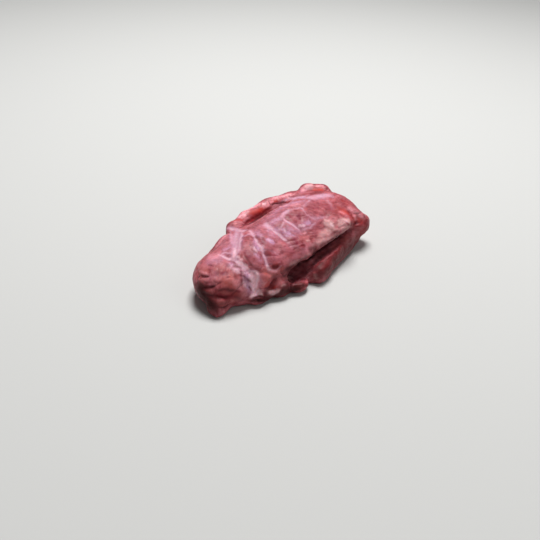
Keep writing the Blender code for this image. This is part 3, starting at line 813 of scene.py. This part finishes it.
# painted shade: under the lip, in the pocket and in the folds
PAINTED_SHADES = {
    "lip_under": ([(321, 249.5), (316, 251.5), (312, 255.5), (307, 259.5), (301, 262)], 1.8, 1.0),
    "lip_notch": ([(317, 247.5), (314.5, 250), (313, 254)], 1.3, 0.9),
    "flap_shadow": ([(313, 266), (317, 260), (324, 255), (331, 250)], 2.0, 0.7),
    "pocket_wall": ([(284, 271), (289, 268), (295, 264), (301, 263)], 2.2, 0.8),
    "lumps": ([(284, 283), (290, 282), (297, 281)], 1.8, 0.6),
    "lump_foot": ([(286, 291), (294, 290), (302, 288)], 1.8, 0.6),
    "foot_cleft": ([(251, 301.5), (256, 299.5), (262, 300), (268, 300)], 1.8, 1.0),
    "nose_foot": ([(202, 293), (208, 300), (214, 307), (218, 312)], 2.5, 0.5),
    "nose_low": ([(211, 296), (216, 297.5), (221, 298.3)], 1.2, 0.75),
    "cleft": ([(247, 225), (252, 222.3), (257, 219.3), (262, 216), (267, 212.5)], 1.7, 0.8),
    "end_pit": ([(350, 225), (354, 224), (359, 222.5)], 1.0, 0.3),
    "nose_line": ([(213, 296.3), (219, 297), (225, 297), (229, 295.8)], 0.9, 0.7),
    "nose_mid": ([(202, 287.3), (207, 288), (212, 287.3), (215.5, 285.6)], 0.8, 0.8),
    "nose_top": ([(201, 275.3), (204.5, 276.3), (208.5, 276.8)], 0.7, 0.7),
    "flap_end": ([(315, 268), (319, 265), (323, 262)], 2.4, 0.5),
}
DRY_SHARE = 0.8

dry = 1 - DRY_SHARE * np.clip(white_and_highlight + fat, 0, 1)
juice_and_shade, painted_shade = painted(JUICE_AND_SHADE) * dry, painted(PAINTED_SHADES) * dry
print("vertices soaked and clotted:", covered(juice_and_shade), covered(painted_shade))

# %% [markdown]
# In the clefts, and along the lower edges, a deep, clear red is laid on: a little fresh blood, and
# painted shade in the clefts and under the edges.

# %% Fresh blood and painted shade
BLOOD_AND_SHADE = {
    "cleft": (
        [(242, 227.5), (248, 223.5), (254, 219.3), (260, 215.7), (266, 211.7), (271, 207.5)], 2.4, 1.0
    ),
    "cleft_far": ([(278, 204), (282, 203.2), (287, 202.3), (290.5, 201.3)], 1.1, 1.0),
    "flap_edge": ([(322, 277), (332, 268), (342, 257), (350, 248), (357, 241)], 3.0, 0.7),
    "end_edge": ([(364, 215), (367, 220), (366, 227), (362, 236)], 2.0, 0.6),
    "end_top": ([(336, 201), (342, 203), (348, 207)], 1.8, 0.4),
    "nose_low": ([(214, 292), (222, 294), (232, 293), (240, 296)], 2.2, 0.25),
    "nose_left": ([(201, 287), (205, 288.5), (210, 289)], 1.8, 0.4),
    "lobe": ([(262, 291), (268, 290), (276, 288)], 1.5, 0.5),
    "nose_low_line": (
        [(211, 296), (217, 296.8), (223, 297.3), (228, 296.5), (232, 293.8), (236, 291)], 1.1, 1.0
    ),
    "mid_pit": ([(300.5, 246.3), (303, 246), (305.5, 245)], 1.1, 0.9),
    "pit": ([(272, 266.3), (275.5, 267.3), (278.5, 265.8)], 1.3, 0.9),
    "near": ([(266, 250.5), (269, 253), (271, 255)], 1.5, 0.5),
    "low_cleft": ([(268, 288.5), (271, 285), (273, 281.5), (275.5, 278.5)], 1.6, 0.9),
}

blood_and_shade = painted(BLOOD_AND_SHADE)
print("vertices in fresh blood:", covered(blood_and_shade))

# %% [markdown]
# ## The grain
# Muscle is a rope of fibres. A texture in space would cut through them all at one angle. Here a few
# guides say which way the fibres run in which part, and every vertex takes the blend of them. Then two
# coordinates are fitted to that: one that grows along the fibres and one across them, in millimetres.
# Any pattern drawn in those coordinates bends with the muscle. A closed skin can't be laid out flat
# without a cut, so the edges near the bottom, where nobody looks, hardly hold.

# %% The grain
GRAIN = {  # place in mm, and the direction of the fibres there
    "nose": ((-58, 0, 12), (0.3, 1.0, 0.4)),
    "nose_top": ((-45, 0, 25), (0.9, 0.5, 0.1)),
    "near_windows": ((-25, -5, 28), (0.5, -0.9, -0.3)),
    "mid_windows": ((0, -5, 30), (0.8, -0.6, -0.1)),
    "far_windows": ((30, 0, 31), (1.0, -0.3, 0.0)),
    "end": ((60, -5, 22), (0.3, 0.8, -0.5)),
    "end_foot": ((66, 0, 8), (0.0, 1.0, 0.2)),
    "flap": ((30, -26, 8), (1.0, 0.2, 0.05)),
    "front": ((-15, -25, 8), (0.9, 0.2, 0.5)),
    "roll": ((15, 32, 18), (1.0, 0.0, 0.05)),
    "back_foot": ((10, 28, 6), (1.0, 0.1, 0.3)),
    "nose_back": ((-40, 15, 10), (0.6, 0.3, 0.8)),
}
GUIDE_REACH = 8.0  # in mm
CUT_UNDER, CUT_SHARE = 1.0, 0.003  # under that height, in mm, edges hold that little
FIT_ROUNDS = 700


def grain_directions():
    """The direction of the fibres at each vertex, along the skin."""
    total = np.zeros((count, 3))
    for place, direction in GRAIN.values():
        square = ((places - np.array(place)) ** 2).sum(axis=1)
        total += np.array(direction) / (square + GUIDE_REACH**2)[:, None] ** 1.5
    total -= (total * outward).sum(axis=1)[:, None] * outward
    return total / np.linalg.norm(total, axis=1)[:, None]


def fitted(directions):
    """A coordinate that grows by 1 with each mm along the directions, as nearly as can be.

    Least squares over all edges, by conjugate gradients.
    """
    steps = places[others] - places[ends]
    holds = np.where(np.maximum(places[ends, 2], places[others, 2]) < CUT_UNDER, CUT_SHARE, 1.0)
    wanted = holds * (steps * (directions[ends] + directions[others])).sum(axis=1) / 2

    def pull(along_edges):
        return np.bincount(others, along_edges, count) - np.bincount(ends, along_edges, count)

    found = np.zeros(count)
    left = pull(wanted)
    search, size = left.copy(), left @ left
    for _ in range(FIT_ROUNDS):
        answer = pull(holds * (search[others] - search[ends]))
        stride = size / (search @ answer)
        found += stride * search
        left -= stride * answer
        size, before = left @ left, size
        search = left + size / before * search
    return found


fibre_way = grain_directions()
along_fibres = fitted(fibre_way)
across_fibres = fitted(np.cross(outward, fibre_way))
print("across the fibres, in mm:", round(float(np.ptp(across_fibres))))

# %% [markdown]
# Strands about a millimetre wide are real ridges. They show most where the muscle is bare.
# Silverskin smooths them over, and juice fills the gaps between them.

# %% Strands
STRAND_WIDTH, STRAND_LENGTH, STRAND_HEIGHT = 1.3, 14.0, 0.12  # in mm
COVERED_STRAND = 0.25  # the share of its height that a strand keeps where it is covered
FILM_HIDES, FAT_HIDES, JUICE_HIDES = 0.8, 0.8, 0.7

strand_places = np.stack([along_fibres / STRAND_LENGTH, across_fibres / STRAND_WIDTH], axis=1)
strand = np.array([noise.noise(Vector((*place, 0.0))) for place in strand_places])
bare = 1 - band - FILM_HIDES * np.maximum(film_and_sheen, blush)
bare = np.clip(bare - FAT_HIDES * fat - JUICE_HIDES * juice_and_shade, 0, 1)
strand_height = STRAND_HEIGHT * strand * (COVERED_STRAND + (1 - COVERED_STRAND) * bare)
print("strand height, in mm:", round(float(np.ptp(strand_height)), 2))

# %% [markdown]
# ## Bundles
# Strands are packed in bundles of a few millimetres, with a thin seam between them, like soap bubbles
# pressed together. Seed points are strewn over the skin, and each vertex belongs to its nearest seed.
# Where two seeds are about as near, there is a seam. The bundles are longer along the grain.

# %% Bundles
BUNDLE_SPACING, BUNDLE_STRETCH = 6.0, 2.2  # in mm, and how much longer they are along the grain
BUNDLE_WAVER, WAVER_SHARE = 2.0, 1.2  # in mm, and the clouds' spacing as a share of the bundles'
SEAM_WIDTH, SEAM_DEPTH = 0.8, 0.3  # in mm
COVERED_SEAM = 0.15  # the share of its depth that a seam keeps under film or fat
SEED = 7


def bundle_seams(spacing, rng):
    """How near each vertex is to a seam between two bundles, from 0 to 1."""
    apart = np.stack([along_fibres / BUNDLE_STRETCH, across_fibres, places[:, 2]], axis=1)
    apart = (apart + BUNDLE_WAVER * wavering(spacing * WAVER_SHARE, (2, 6, 8))) / spacing
    area = count * (SKIN_VOXEL / MM) ** 2
    seeds = apart[rng.choice(count, int(area / BUNDLE_STRETCH / spacing**2), replace=False)]
    tree = KDTree(len(seeds))
    for index, seed in enumerate(seeds):
        tree.insert(seed, index)
    tree.balance()
    gaps = np.array([[hit[2] for hit in tree.find_n(place, 2)] for place in apart])
    return np.exp(-(((gaps[:, 1] - gaps[:, 0]) * spacing / SEAM_WIDTH) ** 2))


random_draws = np.random.default_rng(SEED)
seam = bundle_seams(BUNDLE_SPACING, random_draws) * patchy(8.0, 4.0, level=0.6, swing=1.6)
seam_height = -SEAM_DEPTH * seam * (COVERED_SEAM + (1 - COVERED_SEAM) * bare)
print("vertices on seams:", covered(seam))

# %% [markdown]
# ## The sides that the photograph doesn't show
# Round the back and under the end nothing can be traced, so a rule takes over: larger cells of the
# same kind as the bundles give the bands, and clouds give the film and the reds. The foot and the end
# stay plain, since they are cut, or painted dark with juice and painted shade. The crimson is broken up
# by a finer cloud, because it lies in torn patches and not in round spots.

# %% Hidden sides
BAND_CELL = 17.0  # in mm
TURNED_AWAY, TURN_ROUNDS = 0.3, 12
PLAIN_GAIN = 2  # half in juice and painted shade, or half in full red, is plain enough


def hidden_share():
    """1 where a vertex faces away from the traced side, 0 where it faces it, soft between."""
    towards = np.array(view.matrix_world.translation) / MM - places
    towards /= np.linalg.norm(towards, axis=1)[:, None]
    facing = softened((outward * towards).sum(axis=1), TURN_ROUNDS)
    return np.clip(TURNED_AWAY - facing / TURNED_AWAY, 0, 1)


hidden = hidden_share() * (1 - np.clip(PLAIN_GAIN * np.maximum(juice_and_shade, red), 0, 1))
ruled_band = bundle_seams(BAND_CELL, random_draws) * patchy(14.0, 2.0, level=0.5, swing=1.7, most=0.9)
frayed = hidden * patchy(2.2, 5.0, level=0.5, swing=1.6)
band = np.maximum(band, hidden * ruled_band)
blush = np.maximum(blush, hidden * patchy(12.0, 4.0, level=0.2, swing=1.4, most=0.6))
film_and_sheen = np.maximum(film_and_sheen, hidden * patchy(6.0, 9.0, level=-0.2, swing=2.0, most=0.6))
bright = np.maximum(bright, hidden * patchy(10.0, 6.0, level=-0.2, swing=2.0, most=0.6))
salmon = np.maximum(salmon, hidden * patchy(12.0, 3.0, level=0, swing=2.0, most=0.6))
crimson = np.maximum(crimson, frayed * patchy(7.0, 8.0, level=-0.5, swing=2.5, most=0.5))
print("share that is made by rule:", round(float(hidden.mean()), 2))

# %% [markdown]
# ## The relief
# All heights are added up and the skin is moved along its outward directions once. An uneven swell is
# added, since no muscle is as smooth as a ball. Where the piece rests it stays flat.

# %% Relief
SWELLS = ((7.0, 0.4), (3.4, 0.14), (1.7, 0.06))  # spacing and height, in mm
FOOT = 1.2  # mm, over which the relief grows from nothing

height = crease_height + lobe_height + band_height + fat_height + strand_height + seam_height
height += sum(size * cloud(spacing, spacing) for spacing, size in SWELLS)
height *= np.clip(places[:, 2] / FOOT, 0, 1)
low, high = (np.array(corner) / MM for corner in cad_box)
places = np.clip(places + height[:, None] * outward, low, high)
cheek.data.vertices.foreach_set("co", (places * MM).ravel())
cheek.data.update()
outward = read_outward(cheek.data)
print("moved by, in mm:", round(float(height.min()), 2), "to", round(float(height.max()), 2))

# %% [markdown]
# ## Deep places and their painted shade
# Little light gets where the piece folds in, so the material paints these places darker: this is painted
# shade. How deep a vertex lies is measured with a few rays: the more of its sky the meat itself hides,
# the deeper it is. A second, finer measure compares a vertex with the average of its surroundings. Fat
# and silverskin stay pale in a hollow, and the clear red in a cleft stays red, so both take their share
# off.

# %% Depth, for the painted shade
SKY_RAYS, SKY_ROUNDS = 26, 4
SKY_REACH, SKY_START = 16 * MM, 0.4 * MM
LEAST_SHARE = 0.1  # a ray that gives a vertex less than that isn't followed
NO_SKY = 1e-6
HOLLOW_ROUNDS, HOLLOW_FULL = 10, 0.2  # the second in mm
PALE_EDGE = {"rounds": 4, "gain": 1.5, "strength": 0.9}
FRESH_KEEPS = 0.75


def hidden_sky():
    """The share of the sky over each vertex that the meat hides."""
    tree = BVHTree.FromObject(cheek, bpy.context.evaluated_depsgraph_get())
    total, blocked = np.full(count, NO_SKY), np.zeros(count)
    for index in range(SKY_RAYS):
        up = 1 - (2 * index + 1) / SKY_RAYS
        turn = index * math.pi * (3 - math.sqrt(5))
        side = math.sqrt(1 - up**2)
        way = Vector((side * math.cos(turn), side * math.sin(turn), up))
        share = outward @ np.array(way)
        starts = (places + outward * SKY_START / MM) * MM
        for vertex in np.flatnonzero(share > LEAST_SHARE):
            total[vertex] += share[vertex]
            if tree.ray_cast(starts[vertex], way, SKY_REACH)[0] is not None:
                blocked[vertex] += share[vertex]
    return blocked / total


# painted shade where the meat hides the sky
sky_shade = softened(hidden_sky(), SKY_ROUNDS)
# painted shade in hollows
sunk = ((softened(places, HOLLOW_ROUNDS) - places) * outward).sum(axis=1)
hollow_shade = np.clip(sunk / HOLLOW_FULL, -1, 1)
hollow_shade *= 1 - beside(np.max([fat, white_and_highlight, film_and_sheen, band], axis=0), **PALE_EDGE)
dulled = 1 - FRESH_KEEPS * np.clip(blood_and_shade, 0, 1)
shaded_crease, sky_shade, hollow_shade = shaded_crease * dulled, sky_shade * dulled, hollow_shade * dulled
print("deepest:", round(float(sky_shade.max()), 2), "hollows:", round(float(hollow_shade.max()), 2))

# %% [markdown]
# ## What the material reads
# Each mask is stored on the mesh under its name, and the grain's coordinates too.

# %% Stored values


def keep(name, values):
    """One value for each vertex, stored on the mesh for the material to read."""
    made = cheek.data.attributes.new(name, "FLOAT", "POINT")
    made.data.foreach_set("value", values.astype(np.float32))


for name, values in {
    "bright": bright, "red": red, "salmon": salmon, "pink_and_highlight": pink_and_highlight, "crimson": crimson, "lobe": lobe,
    "window": window, "blush": blush, "film_and_sheen": film_and_sheen, "band": band, "fat": fat, "white_and_highlight": white_and_highlight,
    "veins_and_shade": veins_and_shade, "juice_and_shade": juice_and_shade, "painted_shade": painted_shade, "blood_and_shade": blood_and_shade, "shaded_crease": shaded_crease, "sky_shade": sky_shade,
    "hollow_shade": hollow_shade, "along": along_fibres, "across": across_fibres,
}.items():
    keep(name, values)
print("stored:", len(cheek.data.attributes))

# %% [markdown]
# ## Colours and nodes
# Colours are written as hex values, as on a paint card, and turned to the linear values that light is
# added up in. One small function adds a node, sets it and links it.

# %% Colour and node helpers


def linear(card):
    """An sRGB hex colour as linear red, green, blue and alpha."""
    shares = [int(card[i : i + 2], 16) / 255 for i in (1, 3, 5)]
    return (*[s / 12.92 if s <= 0.04045 else ((s + 0.055) / 1.055) ** 2.4 for s in shares], 1.0)


def add(tree, kind, inputs, **settings):
    """A new shader node; inputs gives each named or numbered socket a value or another's output."""
    node = tree.nodes.new("ShaderNode" + kind)
    for setting, value in settings.items():
        setattr(node, setting, value)
    for socket, value in inputs.items():
        if isinstance(value, bpy.types.NodeSocket):
            tree.links.new(value, node.inputs[socket])
        else:
            node.inputs[socket].default_value = value
    return node


# %% [markdown]
# ## Patterns in the meat
# Wrinkles, specks, mottles and patches are noise in space, whose humps have a real size. Fibres, and the
# pale threads of tissue between them, are noise in the grain's coordinates, so they follow the muscle.
# A single fibre is under a tenth of a millimetre wide, too fine to show here, so the fibres are drawn as
# wide as small bundles of them.

# %% Patterns
HUMPS = {  # spacing in mm, and octaves of finer noise
    "specks": (1.3, 2.0),
    "wrinkles": (1.5, 4.0),
    "mottles": (2.6, 2.0),
    "patches": (8.0, 2.0),
}
FIBRE_LENGTH, FIBRE_WIDTH, FIBRE_DETAIL = 7.0, 0.45, 3.0  # in mm, but for the detail
THREAD_LENGTH, THREAD_GAP = 9.0, 3.5  # in mm
THREAD = {"Scale": 1.0, "Detail": 1.0, "Offset": 1.0, "Distortion": 0.3}


def grained(tree, stored, length, width):
    """The grain's coordinates, counted in lengths along the fibres and in widths across them."""
    grain = add(tree, "CombineXYZ", {"X": stored["along"], "Y": stored["across"]}).outputs[0]
    counted = add(tree, "VectorMath", {0: grain, 1: (1 / length, 1 / width, 0)}, operation="MULTIPLY")
    return counted.outputs[0]


def meat_patterns(tree, stored):
    """The noise of each pattern, by its name."""
    place = add(tree, "TexCoord", {}).outputs["Object"]
    found = {}
    for name, (spacing, detail) in HUMPS.items():
        humps = add(tree, "TexNoise", {"Vector": place, "Scale": 1 / (spacing * MM), "Detail": detail})
        found[name] = humps.outputs["Fac"]
    way = grained(tree, stored, FIBRE_LENGTH, FIBRE_WIDTH)
    fibres = add(tree, "TexNoise", {"Vector": way, "Scale": 1.0, "Detail": FIBRE_DETAIL})
    way = grained(tree, stored, THREAD_LENGTH, THREAD_GAP)
    threads = add(tree, "TexNoise", {"Vector": way, **THREAD}, noise_type="RIDGED_MULTIFRACTAL")
    return {**found, "fibres": fibres.outputs["Fac"], "threads": threads.outputs["Fac"]}


print("humps, in mm:", {name: spacing for name, (spacing, _) in HUMPS.items()})

# %% [markdown]
# ## The tissues
# One material holds all tissues, because on the real piece they run into each other: red muscle, cool
# silverskin over it, waxy fat and juice, with painted shade in the clefts. Each has a colour card and is
# laid over the ones before it, as far as its stored share says. The specks fray its edge, by its
# unevenness.

# %% The tissues
MUSCLE_DEEP, MUSCLE_PALE, THREAD_PINK = linear("#7A2830"), linear("#AE5A62"), linear("#D29AA2")
FIBRE_SHARE = 0.4
PALE_START, PALE_FULL = 1.0, 1.4
THREAD_START, THREAD_FULL, THREAD_MOST = 1.0, 1.6, 0.25
TISSUES = {  # stored value: colour, unevenness, value where it starts, value where it covers
    "salmon": (linear("#AE5450"), 1.2, 0.0, 1.0),
    "red": (linear("#8C2228"), 0.8, 0.0, 1.0),
    "bright": (linear("#B6342A"), 0.6, 0.0, 0.9),
    # paler lobes, partly painted light on their tops
    "lobe": (linear("#B8686A"), 1.2, 0.0, 1.3),
    "window": (linear("#8C3C48"), 0.4, 0.0, 1.4),
    "blush": (linear("#B4707F"), 1.3, 0.0, 1.0),
    # cool lilac film, partly painted sheen
    "film_and_sheen": (linear("#C28EAA"), 1.6, 0.0, 1.0),
    # light pink of thin fat, and painted highlights
    "pink_and_highlight": (linear("#E4929C"), 1.6, 0.0, 1.0),
    "crimson": (linear("#7C1A34"), 1.3, 0.1, 0.9),
    # fresh blood, and painted shade in the clefts
    "blood_and_shade": (linear("#7C0614"), 1.0, 0.0, 1.0),
    "band": (linear("#D2A2B0"), 0.8, 0.05, 0.95),
    "fat": (linear("#CA9496"), 0.8, 0.0, 0.8),
    # thick silverskin and fat, and painted highlights
    "white_and_highlight": (linear("#FFD0DC"), 1.3, 0.1, 1.1),
    # veins and seams, and painted shade under the lip and at the nose's foot
    "veins_and_shade": (linear("#5E1A24"), 1.0, 0.0, 1.0),
    # juice at the foot, and painted shade there
    "juice_and_shade": (linear("#460E10"), 0.8, 0.0, 1.0),
    # painted shade, almost black
    "painted_shade": (linear("#300609"), 0.8, 0.0, 1.0),
    # painted shade in hollows
    "hollow_shade": (linear("#702B33"), 0.4, 0.1, 1.6),
    # painted shade in the grooves
    "shaded_crease": (linear("#4E0A14"), 1.0, 0.1, 0.8),
    # painted shade where the meat hides the sky
    "sky_shade": (linear("#30050A"), 0.4, 0.5, 1.0),
}


def laid_over(tree, under, over, value, start, full, most=1.0):
    """The colour under, which the one over it covers as a value goes from its start to its full."""
    limits = {"From Min": start, "From Max": full, "To Max": most}
    share = add(tree, "MapRange", {"Value": value, **limits}).outputs[0]
    return add(tree, "Mix", {0: share, 6: under, 7: over}, data_type="RGBA").outputs[2]


def meat_colour(tree, stored, pattern):
    """The mottled red of the muscle, with every tissue over it."""
    terms = {0: pattern["fibres"], 1: FIBRE_SHARE, 2: pattern["mottles"]}
    fine = add(tree, "Math", terms, operation="MULTIPLY_ADD").outputs[0]
    mottled = add(tree, "Math", {0: fine, 1: pattern["patches"]}, operation="ADD").outputs[0]
    colour = laid_over(tree, MUSCLE_DEEP, MUSCLE_PALE, mottled, PALE_START, PALE_FULL)
    threads = pattern["threads"]
    colour = laid_over(tree, colour, THREAD_PINK, threads, THREAD_START, THREAD_FULL, THREAD_MOST)
    for name, (tissue, unevenness, start, full) in TISSUES.items():
        terms = {0: pattern["specks"], 1: unevenness, 2: 1 - unevenness / 2}
        uneven = add(tree, "Math", terms, operation="MULTIPLY_ADD").outputs[0]
        cover = add(tree, "Math", {0: uneven, 1: stored[name]}, operation="MULTIPLY").outputs[0]
        colour = laid_over(tree, colour, tissue, cover, start, full)
    return colour


print("tissues over the muscle:", len(TISSUES))

# %% [markdown]
# ## Wet raw meat
# Light goes a few millimetres into raw meat and comes out red, which is what subsurface scattering is
# for. The tissue's IOR is 1.4, as for most tissue. It is fairly rough, and duller still where the
# painted shade lies. A thin coat of juice lies on top. It is smoother than the tissue, and its IOR is
# that of water with some protein, 1.35. Wrinkles, fibres and specks too fine for the mesh roughen the
# surface a little.
# The coat fills in the specks, so it takes only the first two.

# %% Wet raw meat
WET_MEAT = {
    "Subsurface Weight": 0.35,
    "Subsurface Radius": (1.0, 0.3, 0.2),
    "Subsurface Scale": 1.5 * MM,
    "IOR": 1.4,
    "Specular IOR Level": 0.28,
    "Coat Weight": 0.07,
    "Coat Roughness": 0.32,
    "Coat IOR": 1.35,
}
ROUGHNESS = {"From Min": 0.3, "From Max": 0.7, "To Min": 0.42, "To Max": 0.62}
SHADE_DULLS = 0.5
BUMPS = {  # strength and height
    "wrinkles": (0.4, 0.15 * MM),
    "fibres": (0.35, 0.1 * MM),
    "specks": (0.3, 0.1 * MM),
}


def bumpy(tree, pattern):
    """The outward direction after each layer of bumps, by the pattern's name."""
    found, under = {}, {}
    for name, (strength, rise) in BUMPS.items():
        layer = {"Strength": strength, "Distance": rise, "Height": pattern[name], **under}
        found[name] = add(tree, "Bump", layer).outputs[0]
        under = {"Normal": found[name]}
    return found


def raw_cheek():
    """Wet raw muscle with silverskin, fat and dark clefts."""
    material = bpy.data.materials.new("raw_cheek")
    material.use_nodes = True
    tree = material.node_tree
    shader = tree.nodes["Principled BSDF"]
    stored = {
        name: add(tree, "Attribute", {}, attribute_name=name).outputs["Fac"]
        for name in (*TISSUES, "along", "across")
    }
    pattern = meat_patterns(tree, stored)
    normals = bumpy(tree, pattern)
    rough = add(tree, "MapRange", {"Value": pattern["wrinkles"], **ROUGHNESS}).outputs[0]
    terms = {0: stored["painted_shade"], 1: SHADE_DULLS, 2: rough}
    matt = add(tree, "Math", terms, operation="MULTIPLY_ADD").outputs[0]
    tree.links.new(meat_colour(tree, stored, pattern), shader.inputs["Base Color"])
    tree.links.new(matt, shader.inputs["Roughness"])
    tree.links.new(normals["specks"], shader.inputs["Normal"])
    tree.links.new(normals["fibres"], shader.inputs["Coat Normal"])
    for socket, value in WET_MEAT.items():
        shader.inputs[socket].default_value = value
    return material


cheek.data.materials.clear()
cheek.data.materials.append(raw_cheek())
cheek.data.shade_smooth()
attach(cheek, "root")
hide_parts("pork_cheek")
print("nodes in the material:", len(cheek.data.materials[0].node_tree.nodes))

# %% [markdown]
# ## Floor and light
# The floor is plain and pale. The light is one large soft window high over the meat, a little behind
# it, so the top shines and the front falls into shade, with a weak fill from the front.

# %% Floor and light
FLOOR_SIZE = 6.0
PALE = linear("#BDBDBB")


def floor():
    """A wide plain floor just under the piece."""
    bm = bmesh.new()
    bmesh.ops.create_grid(bm, x_segments=1, y_segments=1, size=FLOOR_SIZE / 2)
    mesh = bpy.data.meshes.new("floor")
    bm.to_mesh(mesh)
    bm.free()
    made = placed("floor", mesh)
    made.location.z = cad_box[0].z
    material = bpy.data.materials.new("matt_floor")
    material.use_nodes = True
    shader = material.node_tree.nodes["Principled BSDF"]
    shader.inputs["Base Color"].default_value = PALE
    shader.inputs["Roughness"].default_value = 0.9
    shader.inputs["Specular IOR Level"].default_value = 0.1
    made.data.materials.append(material)


def window_light(name, place, size, watts):
    """A soft square light at a place in metres, turned to the meat."""
    light = bpy.data.lights.new(name, "AREA")
    light.shape, light.size, light.energy = "SQUARE", size, watts
    made = placed(name, light)
    made.location = place
    made.rotation_euler = (AIM - Vector(place)).to_track_quat("-Z", "Y").to_euler()


def pale_room(strength):
    """A little even light from all round, as from the walls of a pale room."""
    world = bpy.data.worlds.new("pale_room")
    world.use_nodes = True
    walls = world.node_tree.nodes["Background"]
    walls.inputs["Color"].default_value = (1, 1, 1, 1)
    walls.inputs["Strength"].default_value = strength
    bpy.context.scene.world = world


floor()
window_light("window_light", (0.32, 0.25, 1.1), size=0.5, watts=20.0)
window_light("front_fill", (0.25, -1.0, 0.75), size=0.8, watts=2.0)
pale_room(strength=0.15)
bpy.context.scene.view_settings.view_transform = "Standard"
